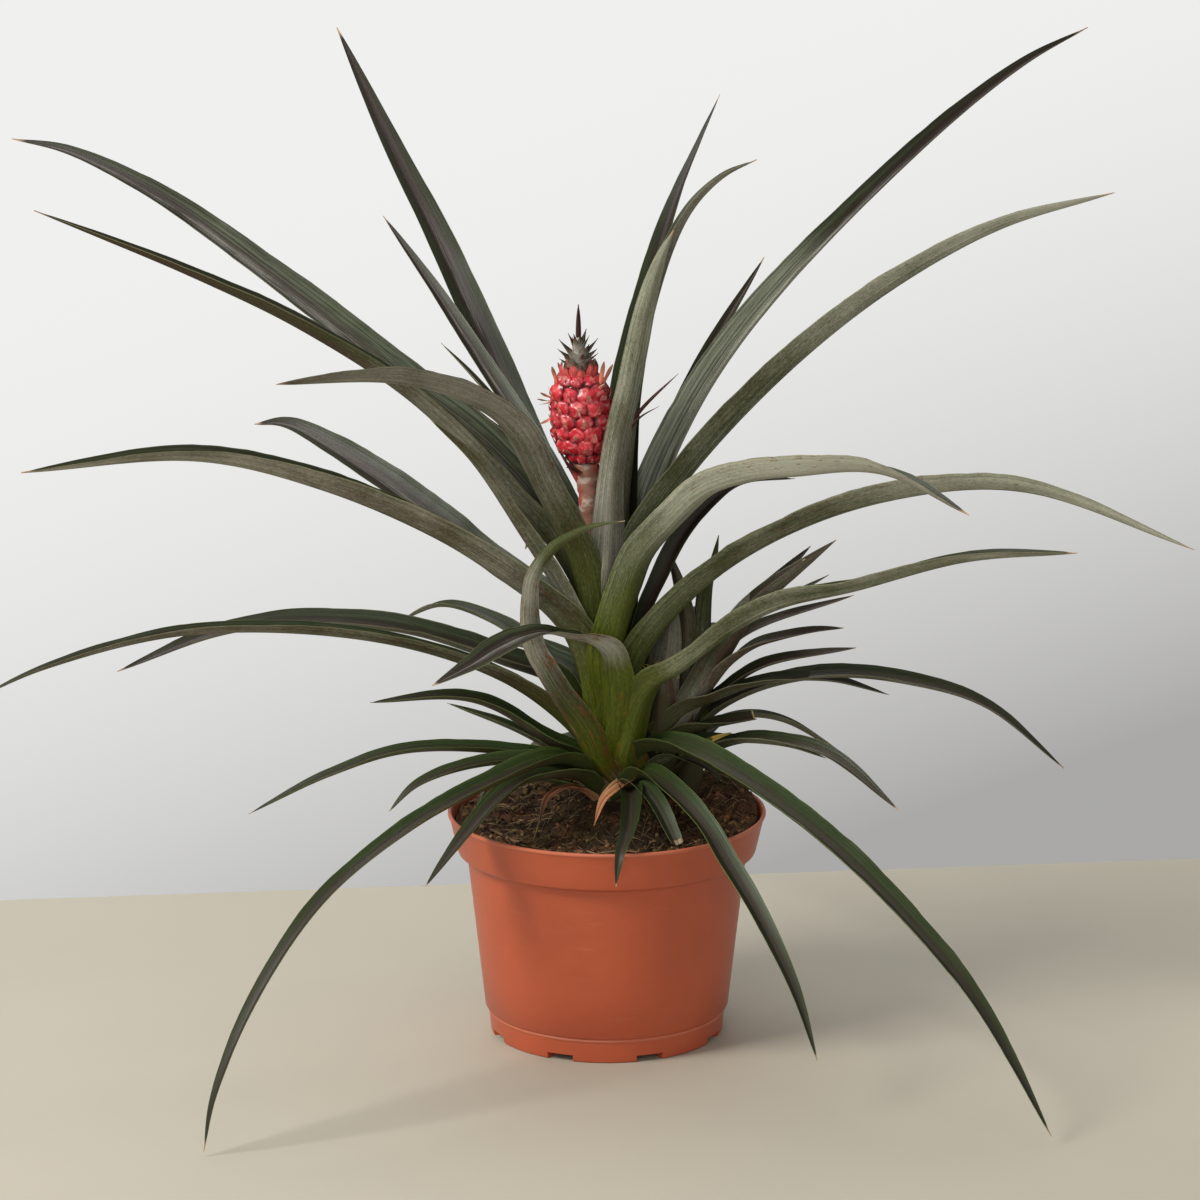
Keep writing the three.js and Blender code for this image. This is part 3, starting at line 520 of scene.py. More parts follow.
middleLeaves = {
    "leaf_middle_01": dict(
        azimuth=-48, seat=146, width=24, roll=(0, -22, -32, -10),
        widths=(0.8, 0.74, 0.78, 0.88, 1.1, 1.2),
        look={0: (0.4, 0, 1), 0.12: (0.3, 0.1, 0.8), 0.24: (0.3, 0.3, 0.45), 0.36: (0.3, 0.6, 0.2),
              0.5: (0.5, 0.95, 0, 0.16), 0.6: (0.6, 0.95, 0, 0.22), 0.8: (0.6, 1, 0, 0.2),
              1: (1, 0.5, 0, 0.1)},
        route=[(14, 186, -12), (16.5, 198, -11.5), (21, 215, -9.5), (29, 235, -8), (44, 252, -5),
               (64, 270, -2), (90, 281), (118, 288), (176, 298.5), (229, 289)]),
    "leaf_middle_02": dict(
        azimuth=-22, seat=140, width=20, roll=(0, -25), hollows=(0.8, 0.9, 0.9),
        widths=(1, 0.95, 0.85, 1, 1.05, 0.9),
        look={0: (0.4, 0.1, 0.8), 0.15: (0.4, 0.3, 0.45), 0.32: (0.5, 0.4, 0.25),
              0.5: (0.5, 0.55, 0, 0.2), 1: (0.4, 0.8, 0)},
        route=[(14, 178), (41, 215), (79, 244), (134, 268), (198, 278), (279, 258)]),
    "leaf_middle_03": dict(
        azimuth=146, seat=154, width=18, roll=(-5, -35), widths=(1, 1, 1.05, 1.15, 1.3, 1.4),
        look=(0.95, 0.5, 0.5),
        route=[(30, 195), (66, 213), (115, 240), (159, 260), (190, 270), (210, 268)]),
    "leaf_middle_04": dict(
        azimuth=198, seat=146, width=16, roll=(8, 2, -12), hollows=(0.8, 1.2, 1.3),
        widths=(1.4, 1.25, 1.05, 1, 1.05), look=(0.9, 0.5, 0.6),
        route=[(18, 182), (31, 203), (53, 222), (84, 244), (138, 271), (197, 289), (279, 289)]),
    "leaf_middle_05": dict(
        azimuth=-32, seat=122, width=18.5, start=-52, roll=(0, 2, 6), hollows=(0.8, 1, 1), foot=1,
        widths=(1, 1, 0.78, 0.62, 0.78, 0.9, 0.68, 0.72, 0.8, 0.9, 1),
        look={0: (0.5, 0, 1, 0.72), 0.05: (0.5, 0, 0.9, 0.58), 0.08: (0.5, 0, 0.9, 0.4),
              0.14: (0.5, 0.1, 0.6, 0.1), 0.26: (0.5, 0.35, 0.3), 0.45: (0.5, 0.45, 0),
              1: (0.6, 0.5, 0)},
        route=[(14, 136, -11), (17, 148, -11), (20, 159, -10), (23, 166, -9.5), (28, 173, -8.5),
               (39, 180, -6.5), (51, 190, -6), (67, 203, -5), (94, 219, -6), (130, 231, -3), (185, 251),
               (241, 262)]),
    "leaf_middle_06": dict(
        azimuth=193, seat=134, width=11.5, roll=(10, 0, -6), hollows=(0.8, 0.9, 0.9),
        look=(0.8, 0.35, 0.4), widths=(1.2, 1, 1, 1, 1),
        route=[(20, 146), (51, 172), (110, 195), (199, 204), (265, 192), (297, 180)]),
    "leaf_middle_07": dict(
        azimuth=174, seat=136, width=15, roll=(0, -20, -35), hollows=(0.8, 0.9, 0.9),
        widths=(1, 1, 0.9, 1, 1.1), look=(0.8, 0.35, 0.4),
        route=[(25, 165), (53, 177), (94, 190), (138, 194), (184, 188), (236, 168)]),
    "leaf_middle_08": dict(
        azimuth=140, seat=138, width=13, look=(0.4, 0.4, 0.8),
        route=[(20, 166), (45, 175), (75, 186), (107, 189), (135, 177)]),
    "leaf_middle_09": dict(
        azimuth=270, seat=124, width=13.2, turn=-30, widths=(0.95, 0.95, 0.95, 0.8, 0.7, 0.6),
        hollows=(0.7, 0.6, 0.4), rows=100,
        look={0: (0.8, 0, 0.9, 0.75), 0.05: (0.8, 0, 0.9, 0.6), 0.1: (0.8, 0, 0.7, 0.42),
              0.2: (0.8, 0.05, 0.5, 0.5), 0.34: (0.9, 0.4, 0.1, 0.3), 0.5: (0.9, 0.7, 0, 0.4),
              0.65: (0.8, 0.7, 0.1, 0.3), 0.76: (0.4, 0.2, 0.3, 0.1), 1: (0.4, 0.2, 0.4, 0.2)},
        route=[(17, 133, -6), (22, 147, -11), (25, 158, -17), (28, 167, -23), (31, 175.7, -28),
               (34, 184.4, -32.5), (36, 193.8, -37), (39.5, 206.5, -39), (44, 219.4, -39),
               (49, 232.7, -37), (56, 249.4, -26), (60, 258.7, -10), (64, 262, 5)]),
    "leaf_middle_10": dict(
        azimuth=270, seat=127, width=20, start=-12, turn=-68, rows=140,
        widths=(0.95, 0.98, 1, 1, 0.82, 0.55, 0.72, 1.05, 1.25, 1.3, 1.2), roll=(0, 0, 0, -8, -18, -20),
        hollows=(0.75, 0.7, 0.4, 0.35),
        # The dry values from 0.16 to 0.29 of the length stain the sheath orange-brown as a painted band of
        # soft shade
        look={0: (0.2, 0, 1), 0.16: (0.3, 0, 1, 0.15), 0.24: (0.5, 0, 1, 0.3),
              0.29: (0.6, 0.2, 0.8, 0.1), 0.35: (0.7, 0.6, 0.4), 0.41: (0.8, 0.9, 0, 0.2),
              0.46: (1, 0.7, 0, 0.55), 0.56: (1, 1, 0, 0.1), 0.75: (1, 0.95, 0), 1: (1, 0.5, 0)},
        route=[(12, 133, -4), (17, 146, -3), (19, 166, -2), (19.5, 180, -2.5), (20.5, 188, -4),
               (23.5, 194, -10), (32, 199.5, -22), (43, 204, -31), (54, 204, -42), (64, 201, -53),
               (76, 196, -66), (88, 191, -82)]),
    "leaf_back_01": dict(
        azimuth=80, seat=164, width=17, look=(0.5, 0.5, 0.8),
        route=[(14, 194), (34, 224), (72, 240), (120, 232), (170, 200)]),
    "leaf_back_02": dict(
        azimuth=104, seat=156, width=17, look=(0.6, 0.5, 0.8),
        route=[(14, 184), (36, 214), (74, 230), (126, 222), (180, 192)]),
    "leaf_back_03": dict(
        azimuth=58, seat=142, width=15, look=(0.5, 0.5, 0.8),
        route=[(16, 160), (46, 176), (84, 178), (112, 168)]),
    "leaf_back_04": dict(
        azimuth=126, seat=140, width=15, look=(0.5, 0.5, 0.8),
        route=[(16, 158), (44, 170), (84, 170), (112, 161)]),
    "leaf_back_05": dict(
        azimuth=94, seat=134, width=13, look=(0.4, 0.5, 0.8),
        route=[(20, 152), (50, 168), (98, 168), (144, 146), (176, 112)]),
    "leaf_back_06": dict(
        azimuth=72, seat=125, width=11, look=(0.4, 0.5, 0.8),
        route=[(20, 136), (50, 148), (92, 142), (130, 118)]),
    "leaf_back_07": dict(
        azimuth=116, seat=123, width=11, look=(0.4, 0.5, 0.8),
        route=[(20, 128), (46, 129), (80, 118), (104, 100)]),
}
lowerLeaves = {
    "leaf_lower_01": dict(
        azimuth=183, seat=126, width=13, roll=(0, -10), look=(1, 0.2, 0.5),
        route=[(17, 132), (31, 140), (54, 156), (72, 162), (114, 161)]),
    "leaf_lower_02": dict(
        azimuth=166, seat=122, width=9, look=(0.7, 0.4, 0.5), route=[(20, 128), (44, 141), (81, 154)]),
    "leaf_lower_03": dict(
        azimuth=188, seat=119, width=11, roll=(0, -10), look=(1, 0.2, 0.5),
        route=[(18, 126), (43, 135), (97, 139), (134, 129), (172, 112)]),
    "leaf_lower_04": dict(
        azimuth=203, seat=120, width=12, roll=(0, -10), look=(1, 0.2, 0.5),
        route=[(27, 131), (65, 136), (98, 130), (113, 119)]),
    "leaf_lower_05": dict(
        azimuth=225, seat=124, width=14, widths=(1, 0.9, 0.75, 0.8, 1), look=(1, 0.2, 0.5),
        route=[(34, 137), (84, 134), (132, 124), (186, 101), (226, 64), (250, 26), (257, 2)]),
    "leaf_lower_06": dict(
        azimuth=222, seat=117, width=13, look=(1, 0.2, 0.5),
        route=[(22, 126), (54, 131), (69, 126), (85, 116), (116, 93)]),
    "leaf_lower_07": dict(
        azimuth=212, seat=115, width=6, look=(0.7, 0.4, 0.5),
        route=[(22, 121), (50, 130), (68, 129), (76, 116)]),
    "leaf_lower_08": dict(
        azimuth=270, seat=115, width=10, look=(1, 0.2, 0.5),
        route=[(20, 122, 7), (50, 119, 8), (70, 114.5, 6), (81, 109.5, 3), (87, 96, 1)]),
    "leaf_lower_09": dict(
        azimuth=-62, seat=115, width=10, cut=0.75, dryEnd=0.95, look=(0.6, 0.4, 0.7),
        route=[(20, 124), (40, 121), (62, 106)]),
    "leaf_lower_10": dict(
        azimuth=-56, seat=119, width=12, look=(1, 0.2, 0.5),
        route=[(24, 129), (52, 125), (74, 116), (92, 103), (110, 90), (143, 60), (164, 29)]),
    "leaf_lower_11": dict(
        azimuth=-41, seat=128, width=17,
        look={0: (0.9, 0.2, 0.5), 0.3: (1, 0.15, 0.2), 0.6: (0.8, 0.35, 0), 1: (0.8, 0.3, 0)},
        hollows=(0.6, 0.6, 0.6),
        route=[(18, 138), (39, 143), (85, 133), (131, 114), (175, 88), (215, 57), (258, 5)]),
}
dryLeaves = {
    "leaf_dry_01": dict(
        azimuth=228, seat=113, width=5.5, ripple=0.5, look={0: (1, 0, 0, 0.8)},
        route=[(22, 121), (37, 125), (46, 122), (51, 112)]),
    "leaf_dry_02": dict(
        azimuth=270, seat=118, width=8.5, ripple=0.4, widths=(0.7, 1, 0.85, 0.6, 0.45),
        look={0: (0.2, 0.2, 0, 1)},
        route=[(18, 124, 6), (27, 124.5, 1), (34, 121, -5), (41, 111.5, -9)]),
}


def makeLeaf(name, leaf, material):
    seat, azimuth = leaf["seat"], leaf["azimuth"]
    path = routed((stemX(seat), 0), azimuth, [(stemRadius(seat) + plant["seatGap"], seat)])
    path += routed((plant["x"], 0), azimuth, leaf["route"])
    facing = (azimuth + leaf.get("start", 0), azimuth + leaf.get("turn", 0))
    settings = {key: value for key, value in leaf.items()
                if key not in ("azimuth", "seat", "start", "turn", "route")}
    bm = bmesh.new()
    bladeLayers(bm)
    addBlade(bm, path, facing=facing, sheath=plant["sheath"], **settings)
    toPiece(name + "_blade", bm, material, name)


rosette = [
    (upperLeaves, "upper_leaf", leafFinish("upperLeaf")),
    (middleLeaves, "middle_leaf", leafFinish("middleLeaf", stain=(0.150, 0.052, 0.014))),
    (lowerLeaves, "lower_leaf", leafFinish(
        "lowerLeaf", green=(0.026, 0.043, 0.010), bright=(0.074, 0.104, 0.046),
        foot=(0.048, 0.074, 0.008), footShade=(0.020, 0.040, 0.007), purple=(0.034, 0.026, 0.018),
        glaze=(0.180, 0.180, 0.150), margin=(0.180, 0.270, 0.070))),
    (dryLeaves, "dry_leaf", leafFinish("dryLeaf", husk=(0.300, 0.100, 0.045), pale=(0.560, 0.300, 0.150))),
]
for leaves, slot, material in rosette:
    for name, leaf in leaves.items():
        makeLeaf(name, leaf, material)
    print(slot, len(leaves))


# The flower stalk

stalkLook = {
    "bark": (0.330, 0.160, 0.110), "scar": (0.560, 0.460, 0.380), "foot": (0.050, 0.060, 0.018),
    "blush": (0.420, 0.075, 0.060), "steps": 48, "rings": 120, "knots": 0.8, "bareFrom": 205,
    "footFade": (0.18, 0.21, 1, 0),
}


def stalkFinish():
    stalk = Finish("stalk", {"Roughness": 0.55, "IOR": 1.45})
    scars = stalk.noise((130, 130, 300))
    flush = stalk.noise(130)
    fine = stalk.noise(1500, 2)
    height = stalk.parts(stalk.place, "XYZ")[2]
    colour = stalk.mix(stalk.between(scars, 0.5, 0.62), stalkLook["bark"], stalkLook["scar"])
    colour = stalk.mix(stalk.between(flush, 0.48, 0.6), colour, stalkLook["blush"])
    colour = stalk.mix(stalk.between(height, *stalkLook["footFade"]), colour, stalkLook["foot"])
    stalk.wear({"Base Color": stalk.mix(fine * 0.4, colour, stalkLook["bark"])})
    stalk.bump(fine * 0.3 + scars, 0.5, 0.0005)
    return stalk.material


def makeStalk():
    bm = bmesh.new()
    (low, _), (high, topRadius) = stemProfile[0], stemProfile[-1]
    heights = [lerp(low, high, i / stalkLook["rings"]) for i in range(stalkLook["rings"])]
    profile = [(0, low)] + [(stemRadius(z), z) for z in heights] + [(topRadius, high), (0, high)]
    turned(bm, profile, stalkLook["steps"])
    for vert in bm.verts:
        x, y, z = vert.co
        if z > stalkLook["bareFrom"]:
            knot = noise.noise(Vector((x / 6, y / 6, z / 3))) * stalkLook["knots"]
            vert.co += Vector((x, y, 0)).normalized() * knot
        vert.co.x += stemX(z)
    toPiece("flower_stalk", bm, stalkFinish(), "stem")


makeStalk()
print("stalk")


# The fruit: a core with rows of knobbly eyes, each with a small dry bract, and a few withered flowers

fruit = {
    "bottom": 275.2, "top": 317.8, "radius": 12.4, "eyesAround": 10, "eyeRows": 7, "twist": 0.02,
    "eye": (4.6, 4.3, 3.2), "eyeSink": 0.5, "scaleWidth": 3.5, "jitter": 0.9, "rings": 24, "steps": 64,
    "red": (0.550, 0.022, 0.036), "creviceShade": (0.120, 0.004, 0.008), "pink": (0.780, 0.300, 0.270),
    "straw": (0.400, 0.200, 0.110), "petal": (0.640, 0.190, 0.110), "petalTip": (0.220, 0.095, 0.045),
}
# Withered flowers: side offset, reach towards the front and height of both ends, width
flowers = [
    ((-10.5, 5, 313), (-12.6, 6, 321.5), 2.0), ((-12.5, 4, 305), (-20, 5, 306), 1.2),
    ((-12.5, 4, 306), (-18.5, 5, 309), 1.4), ((-12.5, 4, 305), (-19, 5, 303.5), 0.9),
    ((-12.8, 3, 297.5), (-19.5, 4, 294), 1.5), ((9.5, 6, 313), (11.5, 7, 324), 2.4),
    ((10.5, 5, 313), (15.5, 6, 322.5), 1.9), ((6.5, 9, 310), (11.5, 9.5, 314), 1.6),
    ((-4.5, 2, 320), (-5, 2.5, 325.5), 1.5), ((5, -9, 314), (7, -11, 322), 2.0),
    ((-7, -9, 313), (-10, -11, 320), 1.8), ((13, -2, 304), (19, -3, 306), 1.4),
]


def fruitRadius(share):
    # Broad above the middle, narrowing to the stalk
    barrel = (1 - abs(1.94 * share - 0.97) ** 3) ** 0.45
    return fruit["radius"] * barrel * (0.88 + 0.14 * eased(share, 0, 0.55))


def fruitFinish():
    skin = Finish("fruitSkin", {"IOR": 1.47, "Coat Weight": 0.5, "Coat Roughness": 0.22})
    swell, scale, petal, _ = skin.painted("look")
    tipward, _, _, own = skin.painted("blade")
    mottle = skin.noise(420, 4, 0.6)
    fine = skin.noise(1500)
    # Painted shade: the colour goes dark red where the eye's height is low, in the crevices between the
    # eyes
    colour = skin.mix(skin.between(mottle * 0.5 + swell - 0.25, 0.2, 0.75), fruit["creviceShade"], fruit["red"])
    # Pale pink patches on the eye tops: partly the skin's own pale mottling, partly a painted highlight
    paleAndHighlight = skin.between(mottle, 0.5, 0.64) * skin.between(swell, 0.5, 0.95, 0.1, 0.75)
    colour = skin.mix(paleAndHighlight, colour, fruit["pink"])
    bract = skin.mix(skin.between(mottle, 0.4, 0.65), fruit["red"], fruit["pink"])
    bract = skin.mix(skin.between(tipward, 0.3, 0.85), bract, fruit["straw"])
    colour = skin.mix(scale, colour, bract)
    flower = skin.mix(skin.between(tipward + fine, 0.75, 1.35), fruit["petal"], fruit["petalTip"])
    colour = skin.shaded(skin.mix(petal, colour, flower), own * 0.35 + fine * 0.3 + 0.68)
    skin.wear({"Base Color": colour, "Roughness": skin.maths("MAXIMUM", scale, petal) * 0.35 + 0.32})
    skin.bump(fine * 0.4 + mottle, 0.4, 0.0006)
    return skin.material


def addEye(bm, angle, z, radius, slope):
    # A ball pressed into five lobes, with a knob in a small moat, a crease under its bract and lumps
    size = min(1, radius / 10.8) * chance.uniform(0.86, 1.12)
    out = Vector((math.cos(angle), math.sin(angle), -slope + chance.uniform(-0.15, 0.15))).normalized()
    aside = Vector((-math.sin(angle), math.cos(angle), 0))
    up = out.cross(aside)
    base = Vector((stemX(z) + radius * math.cos(angle), radius * math.sin(angle), z))
    wide, tall, proud = [part * size * chance.uniform(0.93, 1.07) for part in fruit["eye"]]
    blades, looks = bm.verts.layers.float_color["blade"], bm.verts.layers.float_color["look"]
    own = chance.random()
    turn = chance.uniform(-0.3, 0.3)
    seed = Vector((chance.uniform(0, 90), 0, 0))
    for vert in bmesh.ops.create_icosphere(bm, subdivisions=3, radius=1)["verts"]:
        x, y, h = vert.co
        spread = math.hypot(x, y)
        lobes = 0.10 * math.cos(5 * math.atan2(y, x) + own * 6) * spread * (1 - 0.5 * spread)
        knob = 0.22 * math.exp(-spread * spread / 0.07) - 0.16 * math.exp(-((spread - 0.42) / 0.14) ** 2)
        crease = -0.2 * math.exp(-((y + 0.38 + 0.1 * x) / 0.11) ** 2)
        lump = 0.36 * noise.noise(vert.co * 1.6 + seed) + 0.26 * noise.noise(vert.co * 3.6 + seed)
        block = 1 + 0.14 * abs(x * y) + 0.5 * lobes + 0.25 * lump
        swell = (h + (lobes + knob + crease) * (h > 0) * 0.9 + lump * 0.7) * proud
        vert.co = (base + aside * (x * wide * block + turn * y) + up * (y * tall * block)
                   + out * (swell - fruit["eyeSink"]))
        # The eye's height, which the finish reads to paint shade in the crevices and a highlight on the
        # tops
        vert[looks] = (min(1, max(0, swell / proud * 0.95 + 0.05)), 0, 0, 0)
        vert[blades] = (0, 0, 0, own)
    reach = chance.uniform(0.5, 1.15)
    route = [(-0.62, 0, 0.5), (-0.3, 0, 0.86), (-0.05, 1, 1), (0.28 * reach, 2.5, 1.02 + 0.12 * reach)]
    path = [base + up * (tall * rise) + aside * (turn * swing) + out * (proud * height)
            for rise, swing, height in route]
    facing = math.degrees(angle)
    width = fruit["scaleWidth"] * size * chance.uniform(0.7, 1.1)
    addBlade(bm, path, facing=(facing, facing + 60 * turn), width=width, columns=4, rows=8,
             thick=(0.4, 0.25), edge=0.12, hollows=(-0.4, 0.3), foot=1, taper=1.4, ripple=0.3,
             look={0: (0.6, 1, 0)})


def makeFruit():
    bm = bmesh.new()
    bladeLayers(bm)
    bottom, top = fruit["bottom"], fruit["top"]
    shares = [i / fruit["rings"] for i in range(fruit["rings"] + 1)]
    sides = [(fruitRadius(share), lerp(bottom, top, share)) for share in shares]
    turned(bm, [(0, bottom), *sides, (0, top)], fruit["steps"])
    for vert in bm.verts:
        vert.co.x += stemX(vert.co.z)
    # The bare core sits low between the eyes, so the finish paints it with the crevices' shade
    paintBlank(bm, (0, 0, 0, 0.4), (0.15, 0, 0, 0))
    for row in range(fruit["eyeRows"]):
        for k in range(fruit["eyesAround"]):
            share = (2 * row + 1 + chance.uniform(-0.14, 0.14)) / (2 * fruit["eyeRows"])
            slope = (fruitRadius(share + 0.04) - fruitRadius(share - 0.04)) / (0.08 * (top - bottom))
            angle = math.tau * (row + 2 * k) / (2 * fruit["eyesAround"]) + fruit["twist"] * (2 * row + 1)
            angle += chance.uniform(-1, 1) * fruit["jitter"] / fruit["radius"]
            addEye(bm, angle, lerp(bottom, top, share), fruitRadius(share), slope)
    for start, end, width in flowers:
        foot = Vector((stemX(start[2]) + start[0], -start[1], start[2]))
        tip = Vector((stemX(start[2]) + end[0], -end[1], end[2]))
        sag = Vector((0, 0, 0.5 if abs(end[0] - start[0]) > 5 else 0))
        addBlade(bm, [foot, foot.lerp(tip, 0.5) - sag, tip], facing=(250, 270), width=width, columns=4,
                 rows=12, thick=(0.6, 0.4), edge=0.2, hollows=(0.8, 0.5), widths=(0.7, 0.8, 1.1, 1.3),
                 foot=0.6, taper=4, ripple=0.5, look={0: (0.6, 0, 1)})
    toPiece("fruit_eyes", bm, fruitFinish(), "fruit")


makeFruit()
print("fruit")


# The crown: whorls of small grey blades round a core (radius, height), and a long dry spike

crown = {
    "core": [(0, 317.6), (4.4, 317.6), (3.9, 322), (2.6, 328), (1.2, 334), (0, 335)], "steps": 24,
    "spike": [(0.7, 331), (0.75, 339), (0.15, 349.5)], "foot": 317.6,
    "look": {0: (0.5, 1, 0), 0.45: (0.8, 0.9, 0), 0.68: (1, 0.3, 0, 0.4), 0.88: (1, 0, 0, 1)},
}
crownWhorls = [
    dict(count=6, height=317.6, reach=9.2, rise=6.5, width=8.2, turn=12),
    dict(count=6, height=319.4, reach=10.6, rise=8.2, width=7.8, turn=42),
    dict(count=5, height=321.6, reach=9.8, rise=10.6, width=7.2, turn=18),
    dict(count=4, height=324.2, reach=6.4, rise=11.8, width=6.2, turn=60),
    dict(count=4, height=326.6, reach=3.4, rise=8.5, width=5, turn=20),
]


def makeCrown():
    bm = bmesh.new()
    bladeLayers(bm)
    axis = (stemX(crown["foot"]), 0)
    turned(bm, crown["core"], crown["steps"])
    bmesh.ops.translate(bm, vec=(*axis, 0), verts=bm.verts)
    paintBlank(bm, (0.2, 0, 1, 0.5), (0.2, 0.9, 0, 0))
    small = dict(columns=6, rows=18, thick=(0.7, 0.35), edge=0.2, foot=1, ripple=0.04)
    for whorl in crownWhorls:
        for i in range(whorl["count"]):
            azimuth = whorl["turn"] + 360 / whorl["count"] * i + chance.uniform(-8, 8)
            reach = whorl["reach"] * chance.uniform(0.85, 1.05)
            height = whorl["height"] + chance.uniform(-0.5, 0.5)
            tip = height + whorl["rise"] * chance.uniform(0.9, 1.1)
            route = [(2.2, height), (reach * 0.5, lerp(height, tip, 0.42)), (reach, tip)]
            addSprig(bm, axis, azimuth, route, width=whorl["width"], hollows=(0.5, 0.5), taper=1.5,
                     widths=(1, 1, 0.85, 0.65, 0.5), look=crown["look"], **small)
    for azimuth in (30, 150, 270):
        addSprig(bm, axis, azimuth, crown["spike"], width=2.6, hollows=(0.6, 0.6),
                 look={0: (1, 0, 0, 1)}, **small)
    material = leafFinish(
        "crownLeaf", purple=(0.060, 0.030, 0.026), brown=(0.095, 0.050, 0.042),
        olive=(0.150, 0.140, 0.085), stain=(0.30, 0.12, 0.08), silver=(0.42, 0.42, 0.34),
        mauve=(0.40, 0.31, 0.29), husk=(0.034, 0.014, 0.012), pale=(0.120, 0.060, 0.045))
    toPiece("crown_blades", bm, material, "crown")


# The bracts: long ones on the stalk and a collar of short ones under the fruit

bracts = [
    dict(azimuth=0, width=6, route=[(4.9, 265), (12, 278), (24, 298), (42, 317)]),
    dict(azimuth=-20, width=5, route=[(4.9, 264), (13, 277), (25, 297), (35, 304)]),
    dict(azimuth=188, width=4.2, route=[(4.2, 264), (8, 271), (13, 280), (17, 288)]),
    dict(azimuth=205, width=4, route=[(4.5, 268), (8, 272), (12, 277), (14.5, 282)]),
    dict(azimuth=75, width=6, route=[(4.9, 266), (9, 272), (15, 278), (20, 286)]),
    dict(azimuth=130, width=5, route=[(4.9, 264), (10, 271), (18, 281), (23, 293)]),
    dict(azimuth=225, width=4.5, route=[(4.6, 269), (8, 272), (11.5, 274), (14, 274.5)]),
]
collar = dict(count=13, height=315.5, reach=10.2, rise=8, width=5.6, turn=5)


def makeBracts():
    bm = bmesh.new()
    bladeLayers(bm)
    small = dict(columns=6, thick=(0.8, 0.4), edge=0.2, ripple=0.08)
    for bract in bracts:
        addSprig(bm, (stemX(265), 0), look={0: (1, 0, 0.9), 0.3: (1, 0, 0.3, 0.1), 0.5: (1, 0, 0, 0.3)},
                 rows=24, foot=0.6, hollows=(0.5, 0.4), **small, **bract)
    rise = collar["rise"]
    for i in range(collar["count"]):
        azimuth = collar["turn"] + 360 / collar["count"] * i + chance.uniform(-8, 8)
        height = collar["height"] + chance.uniform(-1.2, 1.2)
        reach = collar["reach"] * chance.uniform(0.82, 1)
        route = [(8, height), (reach, height + rise / 2), (reach * 0.88, height + rise)]
        addSprig(bm, (stemX(collar["height"]), 0), azimuth, route, width=collar["width"], rows=12, foot=1,
                 taper=1.5, hollows=(0.4, 0.4), **small,
                 look={0: (1, 0, 1), 0.55: (1, 0, 0.9), 0.8: (1, 0, 0)})
    material = leafFinish(
        "bract", purple=(0.060, 0.022, 0.016), olive=(0.130, 0.050, 0.035), brown=(0.090, 0.032, 0.022),
        green=(0.060, 0.030, 0.020), silver=(0.330, 0.200, 0.160), margin=(0.250, 0.110, 0.080),
        foot=(0.640, 0.120, 0.110), footShade=(0.420, 0.040, 0.040), tan=(0.090, 0.030, 0.022),
        husk=(0.075, 0.030, 0.020), pale=(0.200, 0.110, 0.075))
    toPiece("bract_blades", bm, material, "fruit_bracts")


# The side shoot: a short stem with its own blades, one dark sheath split at the top

